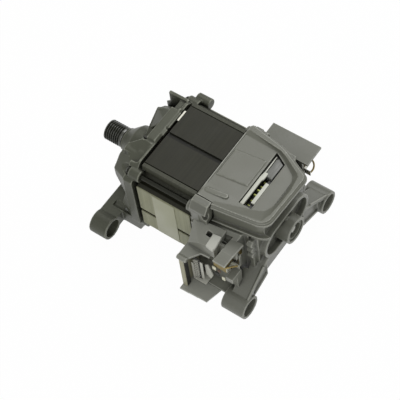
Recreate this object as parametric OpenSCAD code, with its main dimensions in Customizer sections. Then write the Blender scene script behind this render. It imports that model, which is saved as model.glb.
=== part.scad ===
// Belt-drive universal motor of a washing machine, in millimetres, +Z up.
// The origin lies on the shaft axis at the middle of the belt pulley.
// +X runs from the pulley to the brush end, and the motor stands on its four lugs.

/* [Pulley] */
// Outside diameter over the belt ribs
pulley_d = 20.5; // [18:0.5:24]
// Length of the pulley along the shaft
pulley_len = 20; // [18:0.5:26]
// Pitch of the belt ribs
rib_pitch = 2.34; // [2.2:0.02:2.5]
// Number of belt grooves
groove_count = 7; // [4:1:7]
// Depth of each belt groove
groove_depth = 1.8; // [1:0.1:2.2]

/* [Shaft and bearings] */
// Shaft diameter in the pulley and the front bearing
nose_d = 12; // [10:0.5:13]
// Shaft diameter under the armature and the commutator
core_shaft_d = 17; // [15:0.5:19]
// Shaft diameter in the rear bearing
tail_d = 8; // [7:0.5:9]
// Outside diameter of the front bearing
front_bearing_d = 32; // [30:1:34]
// Width of the front bearing
front_bearing_w = 10; // [9:0.5:12]
// Outside diameter of the rear bearing
rear_bearing_d = 22; // [20:0.5:23]
// Width of the rear bearing
rear_bearing_w = 7; // [6:0.5:8]
// Number of balls in each bearing
ball_count = 7; // [6:1:8]
// Thickness of the preload washer in the front hub
preload_t = 0.8; // [0.5:0.1:1.2]

/* [Stator] */
// Width of the lamination pack
stack_w = 105; // [100:1:114]
// Height of the lamination pack
stack_h = 100; // [96:1:108]
// Length of the lamination pack
stack_len = 58; // [45:1:75]
// Bore of the lamination pack
bore_d = 66; // [62:0.5:68]
// Thickness of the yoke above the field coils
yoke_t = 6; // [5:0.5:8]
// Overhang of the field coils beyond each end of the pack
coil_over = 17; // [12:0.5:20]
// Diameter of the stator bolts
bolt_d = 5; // [4:0.5:6]

/* [Armature] */
// Radial air gap round the armature
air_gap = 0.8; // [0.5:0.1:1.2]
// Number of armature slots and commutator bars
slot_count = 24; // [18:2:26]
// Outside diameter of the commutator
comm_d = 36; // [32:0.5:40]
// Length of the commutator
comm_len = 28; // [24:0.5:32]
// Width of the fan at the drive end
fan_len = 9; // [7:0.5:10]

/* [Brushes] */
// Width of a carbon brush along the shaft
brush_w = 12; // [9:0.5:13]
// Height of a carbon brush round the commutator
brush_h = 7; // [5:0.5:8]
// Length of a carbon brush
brush_len = 30; // [22:1:32]
// Diameter of the brush spring wire
spring_wire = 0.7; // [0.5:0.1:0.9]
// Number of turns of a brush spring
spring_turns = 9; // [6:1:10]

/* [Shields and lugs] */
// Distance from the hub face to the lamination pack
front_depth = 53.5; // [50:0.5:60]
// Wall of the front bell
bell_t = 4; // [3:0.5:5]
// Thickness of the flange round the front bell
flange_t = 10; // [8:0.5:12]
// Gap between the flange and the lamination pack
flange_gap = 4; // [3:0.5:5]
// Wall of the rear shield
wall_t = 3.5; // [3:0.5:4.5]
// Distance between the lugs across the motor
lug_span = 132; // [126:1:146]
// Height of the lug axes below the shaft axis
lug_drop = 50.5; // [48:0.5:54]
// Outside diameter of a lug
lug_d = 24; // [22.5:0.5:28]
// Bore of a lug
lug_bore_d = 18.8; // [14:0.2:19.4]
// Length of the front lugs
front_lug_len = 19.5; // [16:0.5:24]
// Length of the rear lugs
rear_lug_len = 24.5; // [20:0.5:30]

/* [Hood and side housings] */
// Wall of the moulded pieces
skin_t = 2.5; // [2:0.1:3]
// Depth of the dish in the hood
dish_depth = 5; // [4:0.5:6]
// Length of the connector slot in the hood
slot_len = 61; // [50:1:62]
// Width of the connector slot in the hood
slot_w = 12; // [10:0.5:13]
// How far the connector housing stands out from the rear shield
socket_reach = 28; // [24:0.5:30]
// Number of contact blades in the connector housing
blade_count = 6; // [4:1:6]
// Pitch of the contact blades
blade_pitch = 5; // [4:0.1:5]

/* [Hidden] */
$fn = 64;

// Clearances
free_gap = 0.5;
fit_gap = 0.05;
eps = 0.5;

// Stations along the shaft
hub_gap = 1;
hub_lip = 9.5;
hub_nose_r = nose_d / 2 + 5.5;
pulley_x0 = -pulley_len / 2;
hub_x = pulley_len / 2 + hub_gap;
seat_x = hub_x + hub_lip;
front_bearing_x = seat_x + preload_t;
front_bearing_end = front_bearing_x + front_bearing_w;
hub_end = front_bearing_end + 2;
stack_x = hub_x + front_depth;
stack_end = stack_x + stack_len;
flange_end = stack_x - flange_gap;
flange_x = flange_end - flange_t;
coil_x = stack_x - coil_over;
coil_end = stack_end + coil_over;
fan_x = coil_x - fan_len - 1.5;
comm_x = coil_end + 7;
riser_len = 5;
comm_end = comm_x + comm_len;
brush_x = comm_x + riser_len + (comm_len - riser_len) / 2;
rear_bearing_x = comm_end + 3;
rear_bearing_end = rear_bearing_x + rear_bearing_w;
rear_x = rear_bearing_end - 0.5;
rear_wall_t = wall_t + 0.5;
trough_end = rear_x + 6.5;
boss_end = rear_x + 16;
tail_end = boss_end - 3;

// Radii about the shaft
pulley_r = pulley_d / 2;
nose_r = nose_d / 2;
core_shaft_r = core_shaft_d / 2;
tail_r = tail_d / 2;
bore_r = bore_d / 2;
arm_r = bore_r - air_gap;
shoe_t = 3.2;
slot_r0 = bore_r + shoe_t;
slot_r1 = stack_h / 2 - yoke_t;
insulator_r = slot_r1 + 1.2;
insulator_t = 2.2;
open_r = insulator_r + free_gap;
comm_r = comm_d / 2;
fan_r = arm_r + 1;
hub_r = front_bearing_d / 2 + 4;
boss_wall = 2.6;
boss_r = rear_bearing_d / 2 + boss_wall;

// Lamination pack
half_w = stack_w / 2;
half_h = stack_h / 2;
bolt_inset_y = 7.5;
bolt_inset_z = 11.5;
bolt_y = half_w - bolt_inset_y;
bolt_z = half_h - bolt_inset_z;
post_d = 12;
post_r = post_d / 2;
post_x = flange_x + 4;
front_lap = 1.5;
rear_lap = 4;
post_len = 12;
notch_r = post_r + 2 * free_gap;
weld_groove = 4.5;
weld_depth = 2;
side_seam_z = -7;
strip_y = half_w - 17;
side_z = half_h - 19;

// Front shield
spider_x = hub_x + 21.5;
spider_t = 5;
foot_x = hub_x + 4;
foot_top = -lug_drop + 9;
foot_t = 4;
lug_y = lug_span / 2;
lug_r = lug_d / 2;
lug_bore_r = lug_bore_d / 2;
foot_bottom = -lug_drop - 7;

// Rear shield
shell_x = stack_end + 2;
shell_y = half_w + 1;
shell_bottom = -half_h + 4;
sill_z = half_h - 20;
corner_x = 18;
neck_x = 11;
neck_y = shell_y - 17;
trough_y = 35;
trough_z = boss_r + 4;
trough_t = 3;
rear_lug_end = rear_x + 7.4;
rear_lug_x = rear_lug_end - rear_lug_len;

// Hood
rim_z = half_h + 1.5;
rim_h = 3.2;
dish_z = rim_z - dish_depth;
hood_x = stack_end + 0.5;
hood_end = rear_x + 12;
hood_side_inset = 2.5;
slot_x = brush_x - 3;
slot_y = -28;

// Side housings, measured outwards from the rear shield's wall
guide_wall = 0.8;
guide_lip = 4;
window_gap = 0.3;
window_w = brush_w + 2 * (fit_gap + guide_wall + window_gap);
window_h = brush_h + 2 * (fit_gap + guide_wall + window_gap);
guide_reach = 13.5;
guide_in = comm_r + 4;
guide_out = shell_y + guide_reach;
housing_x = stack_end + 3.5;
housing_end = rear_x - 6;
socket_y = shell_y + socket_reach;
socket_top = 5.5;
socket_bottom = -half_h + 2;
cover_top = 20;
spring_r = brush_h / 2 - spring_wire / 2 - 0.6;
spring_out = guide_out - 1.2;
spring_in = comm_r + fit_gap + brush_len;

// Extrudes a (Y, Z) outline along X from x0
module along_x(x0, len) {
    translate([x0, 0, 0]) rotate([90, 0, 90]) linear_extrude(len) children();
}

// Extrudes an (X, Z) outline along Y from y0
module along_y(y0, len) {
    translate([0, y0 + len, 0]) rotate([90, 0, 0]) linear_extrude(len) children();
}

// Turns a profile of [radius, x] points about the shaft axis
module turned() {
    rotate([0, 90, 0]) rotate_extrude() children();
}

// A block between two corners
module block(low, high) {
    translate(low) cube(high - low);
}

// A round bar along X
module bar_x(x0, x1, r, y = 0, z = 0) {
    translate([x0, y, z]) rotate([0, 90, 0]) cylinder(h = x1 - x0, r = r);
}

// A ring turned about the shaft axis
module ring_x(x0, x1, r_in, r_out) {
    turned() translate([r_in, x0]) square([r_out - r_in, x1 - x0]);
}

// Repeats a piece in the four corners, mirrored
module corners() {
    for (sy = [0, 1], sz = [0, 1])
        mirror([0, sy, 0]) mirror([0, 0, sz]) children();
}

// Mirrors a piece to both sides of the shaft
module both_sides() {
    for (sy = [0, 1]) mirror([0, sy, 0]) children();
}

// A rectangle with round corners, centred
module round_rect(w, h, r) {
    square([w - 2 * r, h], center = true);
    square([w, h - 2 * r], center = true);
    for (sx = [-1, 1], sy = [-1, 1])
        translate([sx * (w / 2 - r), sy * (h / 2 - r)]) circle(r);
}

// A flat stadium, centred, round at both ends
module stadium(half_len, half_height) {
    square([2 * (half_len - half_height), 2 * half_height], center = true);
    for (s = [-1, 1]) translate([s * (half_len - half_height), 0]) circle(half_height);
}

// A sector of a ring between two angles of up to 180 degrees, measured from +Y
module ring_sector(r_in, r_out, from, to) {
    steps = 12;
    reach = 2 * r_out;
    intersection() {
        difference() {
            circle(r_out);
            circle(r_in);
        }
        polygon(concat([[0, 0]], [for (i = [0:steps])
            let (a = from + (to - from) * i / steps) reach * [cos(a), sin(a)]]));
    }
}

// Pulley and shaft

module pulley() {
    collar = 0.8;
    rib_x = pulley_x0 + 1.2;
    root = pulley_r - groove_depth;
    crest = 0.25;
    grooves = [for (i = [0:groove_count - 1], k = [0:3])
        let (x = rib_x + i * rib_pitch)
        k == 0 ? [pulley_r, x + crest]
        : k == 1 ? [root, x + rib_pitch / 2 - crest]
        : k == 2 ? [root, x + rib_pitch / 2 + crest]
        : [pulley_r, x + rib_pitch - crest]];
    color("#2d2d2b") turned() polygon(concat(
        [[nose_r, pulley_x0], [pulley_r - collar, pulley_x0], [pulley_r, pulley_x0 + collar]],
        grooves,
        [[pulley_r, -pulley_x0 - collar], [pulley_r - collar, -pulley_x0], [nose_r, -pulley_x0]]));
}

module shaft() {
    tip = pulley_x0 - 1;
    edge = 0.8;
    color("#8d8d88") turned() polygon([
        [0, tip], [nose_r - edge, tip], [nose_r, tip + edge], [nose_r, front_bearing_end],
        [core_shaft_r, front_bearing_end], [core_shaft_r, comm_end + 1.5], [tail_r, rear_bearing_x],
        [tail_r, tail_end - edge], [tail_r - edge, tail_end], [0, tail_end]]);
}

// Bearings: each ring has a groove for the balls

function pitch_r(bore, outer) = (bore + outer) / 4;
function ball_r(bore, outer) = (outer - bore) * 0.15;

module bearing_ring(x0, w, r_in, r_out, track_r, groove_r) {
    color("#b8b8b4") turned() difference() {
        translate([r_in, x0]) square([r_out - r_in, w]);
        translate([track_r, x0 + w / 2]) circle(groove_r);
    }
}

module bearing_balls(x0, w, track_r, r) {
    color("#d8d8d6") for (i = [0:ball_count - 1])
        rotate([i * 360 / ball_count, 0, 0]) translate([x0 + w / 2, track_r, 0]) sphere(r);
}

front_track = pitch_r(nose_d, front_bearing_d);
front_ball = ball_r(nose_d, front_bearing_d);
rear_track = pitch_r(tail_d, rear_bearing_d);
rear_ball = ball_r(tail_d, rear_bearing_d);
ring_gap = 0.55;

module front_bearing_outer() {
    bearing_ring(front_bearing_x, front_bearing_w, front_track + front_ball * ring_gap,
        front_bearing_d / 2, front_track, front_ball + fit_gap);
}

module front_bearing_inner() {
    bearing_ring(front_bearing_x, front_bearing_w, nose_r, front_track - front_ball * ring_gap,
        front_track, front_ball + fit_gap);
}

module front_bearing_balls() {
    bearing_balls(front_bearing_x, front_bearing_w, front_track, front_ball);
}

module rear_bearing_outer() {
    bearing_ring(rear_bearing_x, rear_bearing_w, rear_track + rear_ball * ring_gap,
        rear_bearing_d / 2, rear_track, rear_ball + fit_gap);
}

module rear_bearing_inner() {
    bearing_ring(rear_bearing_x, rear_bearing_w, tail_r, rear_track - rear_ball * ring_gap,
        rear_track, rear_ball + fit_gap);
}

module rear_bearing_balls() {
    bearing_balls(rear_bearing_x, rear_bearing_w, rear_track, rear_ball);
}

module preload_washer() {
    color("#a0a09a") ring_x(seat_x, front_bearing_x, front_bearing_d / 2 - 3, front_bearing_d / 2 - 0.3);
}

// Armature

slot_hole_r = PI * arm_r / slot_count * 0.55;
slot_track = arm_r - slot_hole_r - 1.8;
slot_mouth = 2;
disc_t = 1.2;

module slot_row(hole_r, mouth) {
    for (i = [0:slot_count - 1]) rotate(i * 360 / slot_count) {
        translate([slot_track, 0]) circle(hole_r);
        if (mouth > 0) translate([slot_track, -mouth / 2]) square([arm_r - slot_track + 1, mouth]);
    }
}

module armature_core() {
    color("#6b6a62") along_x(stack_x, stack_len) difference() {
        circle(arm_r);
        circle(core_shaft_r);
        slot_row(slot_hole_r, slot_mouth);
    }
}

module armature_end_discs() {
    color("#3f6a4c") for (x = [stack_x - disc_t, stack_end]) along_x(x, disc_t) difference() {
        circle(slot_track + slot_hole_r);
        circle(core_shaft_r);
        slot_row(slot_hole_r, 0);
    }
}

// Half profile of the wound end turns: r from the shaft sleeve out, with round shoulders
module end_turn(x0, len) {
    r_in = core_shaft_r + 2.5;
    r_out = arm_r - 2;
    round_r = 4;
    turned() translate([(r_in + r_out) / 2, x0 + len / 2]) round_rect(r_out - r_in, len, round_r);
}

module armature_winding() {
    over = coil_over - disc_t - 2;
    color("#9a5a2c") {
        end_turn(stack_x - disc_t - over, over);
        end_turn(stack_end + disc_t, over);
        along_x(stack_x - disc_t - 1, stack_len + 2 * disc_t + 2) slot_row(slot_hole_r - fit_gap, 0);
    }
}

module commutator_hub() {
    color("#4a3a30") ring_x(comm_x, comm_end, core_shaft_r, comm_r - 5);
}

module commutator_bars() {
    slit = 0.7;
    riser_r = comm_r + 1.5;
    color("#b07545") difference() {
        union() {
            ring_x(comm_x + 1, comm_end - 1, comm_r - 5, comm_r);
            ring_x(comm_x + 1, comm_x + riser_len, comm_r - 5, riser_r);
        }
        for (i = [0:slot_count - 1])
            rotate([(i + 0.5) * 360 / slot_count, 0, 0])
                block([comm_x, comm_r - 6, -slit / 2], [comm_end, riser_r + 1, slit / 2]);
    }
}

module cooling_fan() {
    sleeve = 3;
    web_t = 2;
    blade_t = 1.8;
    blades = 11;
    color("#d8d4c4") {
        ring_x(fan_x, fan_x + fan_len, core_shaft_r, core_shaft_r + sleeve);
        ring_x(fan_x + fan_len - web_t, fan_x + fan_len, core_shaft_r + sleeve - eps, fan_r);
        for (i = [0:blades - 1])
            rotate([i * 360 / blades, 0, 0])
                block([fan_x + 1, core_shaft_r + sleeve - eps, -blade_t / 2],
                    [fan_x + fan_len - web_t + eps, fan_r - 0.5, blade_t / 2]);
    }
}

// Tacho generator on the tail of the shaft

tacho_x = rear_bearing_end + 2.5;
magnet_r = tail_r + 3;

module tacho_magnet() {
    color("#3b3a38") ring_x(tacho_x + 0.5, tail_end - 1.2, tail_r, magnet_r);
}

module tacho_coil() {
    color("#1f1f1e") ring_x(tacho_x, boss_end - 1.5, magnet_r + 0.8, boss_r - boss_wall);
}

// Stator

module pack_outline() {
    difference() {
        square([stack_w, stack_h], center = true);
        for (s = [-1, 1]) {
            translate([0, s * half_h]) square([weld_groove, 2 * weld_depth], center = true);
            translate([s * half_w, side_seam_z]) square([2 * weld_depth, weld_groove], center = true);
        }
        for (sy = [0, 1], sz = [0, 1]) mirror([sy, 0]) mirror([0, sz]) corner_channel();
    }
}

// The cut in one corner of the pack: a channel for the bolt, open at the corner
module corner_channel() {
    lip = 1.5;
    ridge_w = 3.5;
    ridge_y = strip_y + 1;
    translate([bolt_y, bolt_z]) circle(notch_r);
    polygon([[ridge_y + ridge_w, half_h + 1], [ridge_y + ridge_w, bolt_z + 2],
        [bolt_y, bolt_z - notch_r + lip], [half_w - lip, side_z], [half_w + 1, side_z], [half_w + 1, half_h + 1]]);
    translate([strip_y, half_h - lip]) square([ridge_y - strip_y, lip + 1]);
}

slot_angle = 48;
mouth_angle = 11;

module stator_core() {
    color("#4a4a44") along_x(stack_x, stack_len) difference() {
        pack_outline();
        circle(bore_r);
        for (turn = [0, 180]) rotate(turn) {
            ring_sector(slot_r0, slot_r1, -slot_angle, slot_angle);
            ring_sector(bore_r - 1, slot_r1, -mouth_angle, mouth_angle);
        }
    }
}

module field_coil(side) {
    from = mouth_angle + 2;
    inner = slot_angle - 3;
    r_in = slot_r0 + 0.4;
    r_out = slot_r1 - 0.4;
    wall = 4;
    color("#8a4a22") rotate([side, 0, 0]) difference() {
        along_x(coil_x, coil_end - coil_x) ring_sector(r_in, r_out, from, 180 - from);
        along_x(stack_x - wall, stack_len + 2 * wall) ring_sector(r_in - 2, r_out + 2, inner, 180 - inner);
    }
}

module field_coil_upper() {
    field_coil(0);
}

module field_coil_lower() {
    field_coil(180);
}

// Insulating frame on one end of the pack, with a lug over the pack's top edge
module end_insulator(x0) {
    tab_from = 17;
    tab_w = 12;
    color("#e6e2d2") along_x(x0, insulator_t) difference() {
        union() {
            circle(insulator_r);
            translate([tab_from, 0]) square([tab_w, half_h - 1]);
        }
        circle(bore_r + 0.5);
        for (turn = [0, 180]) rotate(turn) ring_sector(slot_r0, slot_r1, -slot_angle, slot_angle);
    }
}

module end_insulator_front() {
    end_insulator(stack_x - insulator_t);
}

module end_insulator_rear() {
    mirror([0, 0, 1]) end_insulator(stack_end);
}

head_h = 4;
head_r = bolt_d * 0.8;
thread_end = stack_end + post_len - 2;

module stator_bolts() {
    color("#3a3a37") corners() {
        bar_x(post_x, thread_end, bolt_d / 2, bolt_y, bolt_z);
        bar_x(post_x - head_h, post_x, head_r, bolt_y, bolt_z);
    }
}

// Front shield: a spider from the bearing hub to the square flange, on a cross foot with two lugs

// Outline of one upper arm of the spider at its front face, drawn for +Y
upper_arm = [[-6, 14], [half_w - 28, half_h - 13], [half_w - 19, half_h - 14], [half_w - 8, half_h - 24],
    [half_w - 8, half_h - 34], [half_w - 15, half_h - 51], [10, -14]];
// Outline of the shoulder behind it, where it meets the flange
upper_shoulder = [[half_w - 30, half_h - 5], [half_w - 17, half_h - 4], [half_w, half_h - 18],
    [half_w, half_h - 50], [half_w - 12, half_h - 50]];
lower_arm = [[0, -14], [16, -4], [half_w - 16, -half_h + 26], [half_w - 8, -half_h + 16],
    [half_w - 20, -half_h + 7], [8, -hub_r - 2]];
lower_shoulder = [[half_w - 34, -half_h + 5], [half_w - 8, -half_h + 5], [half_w, -half_h + 14],
    [half_w, -half_h + 26], [half_w - 12, -half_h + 26]];

// A cast shoulder between an arm's tip and the flange
module shoulder(tip, root) {
    hull() {
        along_x(spider_x, 1) polygon(tip);
        along_x(flange_x, 1) polygon(root);
    }
}

function tip_of(outline) = [for (i = [1:len(outline) - 2]) outline[i]];

module spider() {
    both_sides() {
        along_x(spider_x, spider_t) polygon(upper_arm);
        along_x(spider_x, spider_t) polygon(lower_arm);
        shoulder(tip_of(upper_arm), upper_shoulder);
        shoulder(tip_of(lower_arm), lower_shoulder);
    }
}

module hub_solid() {
    nose_len = 2;
    cone_len = 12;
    turned() polygon([[0, hub_x], [hub_nose_r, hub_x], [hub_nose_r, hub_x + nose_len],
        [hub_r, hub_x + cone_len], [hub_r, hub_end], [0, hub_end]]);
}

// Square frame with cut corners, and a round post with a seat on the pack in each corner
module front_flange() {
    half_y = half_w + 2;
    half_z = half_h - 1.5;
    cut_y = 18;
    cut_z = 14;
    along_x(flange_x, flange_t) polygon([[cut_y - half_y, -half_z], [half_y - cut_y, -half_z],
        [half_y, cut_z - half_z], [half_y, half_z - cut_z], [half_y - cut_y, half_z],
        [cut_y - half_y, half_z], [-half_y, half_z - cut_z], [-half_y, cut_z - half_z]]);
    corners() {
        bar_x(post_x, stack_x + front_lap, post_r, bolt_y, bolt_z);
        block([flange_end - eps, bolt_y - post_r - 4, bolt_z - post_r - 4], [stack_x, bolt_y, bolt_z]);
    }
    // Round ear on the far shoulder
    bar_x(flange_x + 8, stack_x + 9, post_r - 0.5, half_w + 1, half_h - 13);
}

module front_ribs() {
    strip_from = -13;
    strip_to = 29;
    pad_from = -32;
    pad_to = -23;
    fin_y = strip_y + 3.5;
    // Raised strip on the top of the flange
    block([flange_x - 1, strip_from, half_h - 5], [flange_end - 1.5, strip_to, half_h]);
    // Flat pad on the near shoulder
    block([spider_x + 4.5, pad_from, half_h - 18], [flange_end - 5, pad_to, half_h - 5]);
    // Upright fin on the far shoulder
    block([spider_x + 7.5, fin_y, half_h - 18], [flange_end - 2, fin_y + 3, half_h - 2]);
}

module front_foot() {
    rib_t = 4;
    reach = foot_x + front_lug_len;
    block([foot_x, -lug_y, foot_top - foot_t], [reach, lug_y, foot_top]);
    for (x = [foot_x, reach - rib_t])
        block([x, -lug_y, foot_bottom], [x + rib_t, lug_y, foot_top - foot_t + eps]);
    // Middle web up to the hub
    block([foot_x + 7, -4, foot_top - eps], [reach, 4, -hub_r + 3]);
    both_sides() {
        bar_x(foot_x, reach, lug_r, lug_y, -lug_drop);
        // Side walls back to the flange
        along_y(half_w - 7, rib_t) polygon([[reach - rib_t, foot_top], [flange_end, foot_top + 12],
            [flange_end, foot_top - 4], [flange_end - 6, foot_bottom], [reach - rib_t, foot_bottom]]);
    }
}

module front_shield() {
    color("#5c5d58") difference() {
        union() {
            difference() {
                union() {
                    spider();
                    front_flange();
                    front_ribs();
                }
                // Round inside, stepped wider over the coil ends
                bar_x(spider_x + spider_t, stack_x + 1, open_r - bell_t);
                bar_x(coil_x - 3, stack_x + 1, open_r);
            }
            hub_solid();
            front_foot();
        }
        // Bearing seat and shaft hole
        bar_x(seat_x, spider_x + spider_t + 1, front_bearing_d / 2);
        bar_x(hub_x - 1, seat_x + 1, nose_r + 1.5);
        // Bolt holes and the channels for their heads
        corners() {
            bar_x(flange_x - 1, stack_x + front_lap + 1, bolt_d / 2 + 0.25, bolt_y, bolt_z);
            bar_x(spider_x - 10, post_x, head_r + 0.8, bolt_y, bolt_z);
        }
        both_sides() bar_x(foot_x - 1, foot_x + front_lug_len + 1, lug_bore_r, lug_y, -lug_drop);
    }
}

// Rear shield: an open box round the commutator, with a bearing boss in a trough and two lugs

module shell_plan(inset, back) {
    x0 = shell_x - inset;
    x1 = rear_x - back;
    y1 = shell_y - inset;
    y2 = neck_y - inset;
    half = [[x0, y1], [x1 - corner_x, y1], [x1 - neck_x, y2], [x1, y2]];
    polygon(concat(half, [for (i = [3:-1:0]) [half[i][0], -half[i][1]]]));
}

module rear_shell() {
    translate([0, 0, shell_bottom]) linear_extrude(sill_z - shell_bottom) shell_plan(0, 0);
}

module rear_cavity() {
    floor_x = coil_end + 3;
    translate([0, 0, shell_bottom + wall_t]) linear_extrude(stack_h) shell_plan(wall_t, rear_wall_t);
    // Open floor under the coil ends and three vents behind them
    block([shell_x - 1, -bolt_y + post_r + 1, shell_bottom - 1], [floor_x, bolt_y - post_r - 1, 0]);
    for (y = [-26, -4, 18])
        block([floor_x + 6, y, shell_bottom - 1], [comm_end - 4, y + 8, shell_bottom + wall_t + 1]);
}

// Ledge round the top of the box, on which the hood stands
module rear_ledge() {
    translate([0, 0, sill_z - wall_t]) linear_extrude(wall_t) difference() {
        shell_plan(0, 0);
        polygon(hood_points(hood_side_inset + skin_t));
        translate([shell_x - 1, -shell_y]) square([post_len, 2 * shell_y]);
    }
}

module rear_ears() {
    ear_t = 8;
    corners() bar_x(stack_end - rear_lap, stack_end + post_len, post_r, bolt_y, bolt_z);
    both_sides() {
        // Ears beside the hood that carry the upper posts
        block([shell_x, bolt_y - 3, sill_z - 8], [shell_x + ear_t, shell_y, bolt_z + 3]);
        // Pads that bear on the pack beside the lower posts
        block([stack_end, bolt_y - post_r - 2, -bolt_z], [shell_x + ear_t, bolt_y, -bolt_z + post_r + 4]);
        block([stack_end, bolt_y - 3, sill_z - 10], [shell_x + ear_t, shell_y - 2, sill_z]);
    }
}

// Height of the upper face of a rear arm, which slopes from the trough down to the lug
arm_root_y = trough_y - 5;
arm_root_z = -trough_z + 5.5;
arm_low_z = -lug_drop + lug_r - 0.5;
function arm_z(y) = arm_root_z + (arm_low_z - arm_root_z) * (y - arm_root_y) / (lug_y - arm_root_y);

// One length of a rear arm from root_y out: the sloping plate, or a deep rib under it
module rear_arm(x0, x1, root_y) {
    along_x(x0, x1 - x0) polygon([[root_y, arm_z(root_y)], [lug_y, arm_low_z], [lug_y, arm_low_z - foot_t],
        [root_y, arm_z(root_y) - foot_t - 1]]);
}

module rear_arm_rib(x0, root_y) {
    rib_t = 4;
    along_x(x0, rib_t) polygon([[root_y, arm_z(root_y)], [lug_y, arm_low_z], [lug_y, -lug_drop],
        [lug_y - lug_r + 1, -lug_drop - 3], [root_y, shell_bottom + 1]]);
}

module rear_foot() {
    arm_x = rear_x - 12;
    arm_end = trough_end - 0.5;
    both_sides() {
        rear_arm(arm_x, arm_end, neck_y - 1);
        rear_arm(rear_x - eps, arm_end, arm_root_y);
        rear_arm_rib(arm_x, neck_y - 1);
        rear_arm_rib(rear_x - eps, arm_root_y);
        bar_x(rear_lug_x, rear_lug_end, lug_r, lug_y, -lug_drop);
    }
}

// Flat tabs of the side walls round the brush windows
module brush_seats() {
    reach = window_w / 2 + guide_lip + 1;
    half = window_h / 2 + 4;
    both_sides() block([brush_x - reach, shell_y - wall_t, -half], [brush_x + reach, shell_y, half]);
}

module rear_end() {
    along_x(rear_x - 1, trough_end - rear_x + 1) difference() {
        stadium(trough_y, trough_z);
        stadium(trough_y - trough_t, trough_z - trough_t);
    }
    bar_x(rear_bearing_x, boss_end, boss_r);
    // Upright rib in each slanted rear corner
    both_sides() block([rear_x - 12, neck_y - 1, foot_top], [rear_x - 8, neck_y + 7, sill_z - 6]);
}

module rear_shield() {
    color("#61625c") difference() {
        union() {
            difference() {
                rear_shell();
                rear_cavity();
            }
            rear_ledge();
            rear_ears();
            rear_foot();
            rear_end();
            brush_seats();
        }
        // Brush windows in both side walls
        both_sides() block([brush_x - window_w / 2, neck_y - wall_t - 1, -window_h / 2],
            [brush_x + window_w / 2, shell_y + 1, window_h / 2]);
        // Bearing seat, shoulder and tacho chamber
        bar_x(rear_bearing_x - 1, rear_bearing_end, rear_bearing_d / 2);
        bar_x(rear_bearing_x, boss_end, rear_bearing_d / 2 - 2.5);
        bar_x(tacho_x, boss_end + 1, boss_r - boss_wall);
        corners() bar_x(stack_end - rear_lap - 1, thread_end + 1, bolt_d / 2 + 0.1, bolt_y, bolt_z);
        both_sides() bar_x(rear_lug_x - 1, rear_lug_end + 1, lug_bore_r, lug_y, -lug_drop);
    }
}

// Hood: a moulded dish with a double rim over the commutator

// Outline of the hood, shrunk by inset, with its own inset along the front edge
function hood_points(inset, front = undef) = let (lead = is_undef(front) ? inset : front) [
    [hood_x + lead, -half_w + 6 + inset], [hood_x + 18, -half_w + 10 + inset],
    [rear_x + 3.5 - inset * 0.4, -half_w + 16.5 + inset], [hood_end - 2 - inset, -half_w + 22 + inset],
    [hood_end - inset, 26 - inset * 0.6], [hood_x + 40 - inset * 0.3, half_w - 11.5 - inset],
    [hood_x + lead, half_w - 4 - inset]];

module hood_plan(inset, r, front = undef) {
    offset(r = r, $fn = 32) offset(delta = -r) polygon(hood_points(inset, front));
}

module hood_layer(z0, z1, inset, front = undef) {
    translate([0, 0, z0]) linear_extrude(z1 - z0) hood_plan(inset, 4, front);
}

// Plain corner spaces that the ears of the rear shield take up
module hood_ear_space() {
    gap = free_gap;
    for (s = [0, 1]) mirror([0, s, 0])
        block([hood_x - 1, bolt_y - post_r - gap, sill_z - 1],
            [shell_x + post_len + gap, shell_y + 5, bolt_z + post_r + gap]);
}

module hood() {
    lip = 2.2;
    dish_in = 11;
    dish_edge = 4.5;
    lower_rim = 3;
    color("#73746e") {
        difference() {
            union() {
                hood_layer(rim_z - rim_h, rim_z, 0);
                hood_layer(sill_z, rim_z - rim_h + eps, hood_side_inset);
                hood_layer(sill_z, sill_z + lower_rim, -1.5, hood_side_inset);
            }
            // Dish with sloping walls, shallow at the front lip
            hull() {
                translate([0, 0, rim_z + 0.1]) linear_extrude(0.1) hood_plan(dish_edge, 4, lip);
                translate([0, 0, dish_z]) linear_extrude(0.1) hood_plan(dish_in, 4, lip + 2);
            }
            // Inside
            translate([0, 0, sill_z - 1]) linear_extrude(dish_z - skin_t - sill_z + 1)
                hood_plan(hood_side_inset + skin_t, 3);
            connector_slot(sill_z, rim_z + 1, 0);
            hood_ear_space();
            // Room for the rear insulator and the coil ends
            bar_x(hood_x - 1, stack_end + insulator_t + free_gap, open_r);
            bar_x(hood_x - 1, coil_end + free_gap, slot_r1 + 0.1);
        }
        dish_relief();
    }
}

// Raised rib and embossed panel on the floor of the dish
module dish_relief() {
    rib_y = -27;
    rib_w = 5;
    rib_h = 2.5;
    panel_h = 0.8;
    translate([hood_x + 14, rib_y, dish_z - eps]) linear_extrude(rib_h + eps)
        stadium(11, rib_w / 2);
    block([hood_x + 4, -6, dish_z - eps], [slot_x - 2.5, 18, dish_z + panel_h]);
}

// The long slot for the plug, with a slanted far end
module connector_slot(z0, z1, grow) {
    y1 = slot_y + slot_len;
    cut = 7;
    translate([0, 0, z0]) linear_extrude(z1 - z0) polygon([
        [slot_x - grow, slot_y - grow], [slot_x + slot_w + grow, slot_y - grow],
        [slot_x + slot_w + grow, y1 - cut + grow], [slot_x - grow, y1 + grow]]);
}

// Terminals under the slot

block_top = dish_z - skin_t;
block_h = 9;
cell_w = 4.6;
cell_from = slot_y + 3;
cell_len = 32;
cell_x = slot_x + (slot_w - cell_w) / 2;
cell_floor = block_top - block_h + 3;
key_y = cell_from + cell_len + 3;

module terminal_block() {
    color("#ddd8c6") difference() {
        union() {
            connector_slot(block_top - block_h, block_top, 2.5);
            connector_slot(block_top - eps, dish_z - 0.6, -free_gap);
        }
        block([cell_x, cell_from, cell_floor], [cell_x + cell_w, cell_from + cell_len, dish_z + 1]);
        block([slot_x + 2.5, key_y, block_top - 1], [slot_x + slot_w - 2.5, key_y + 16, dish_z + 1]);
    }
}

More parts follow.
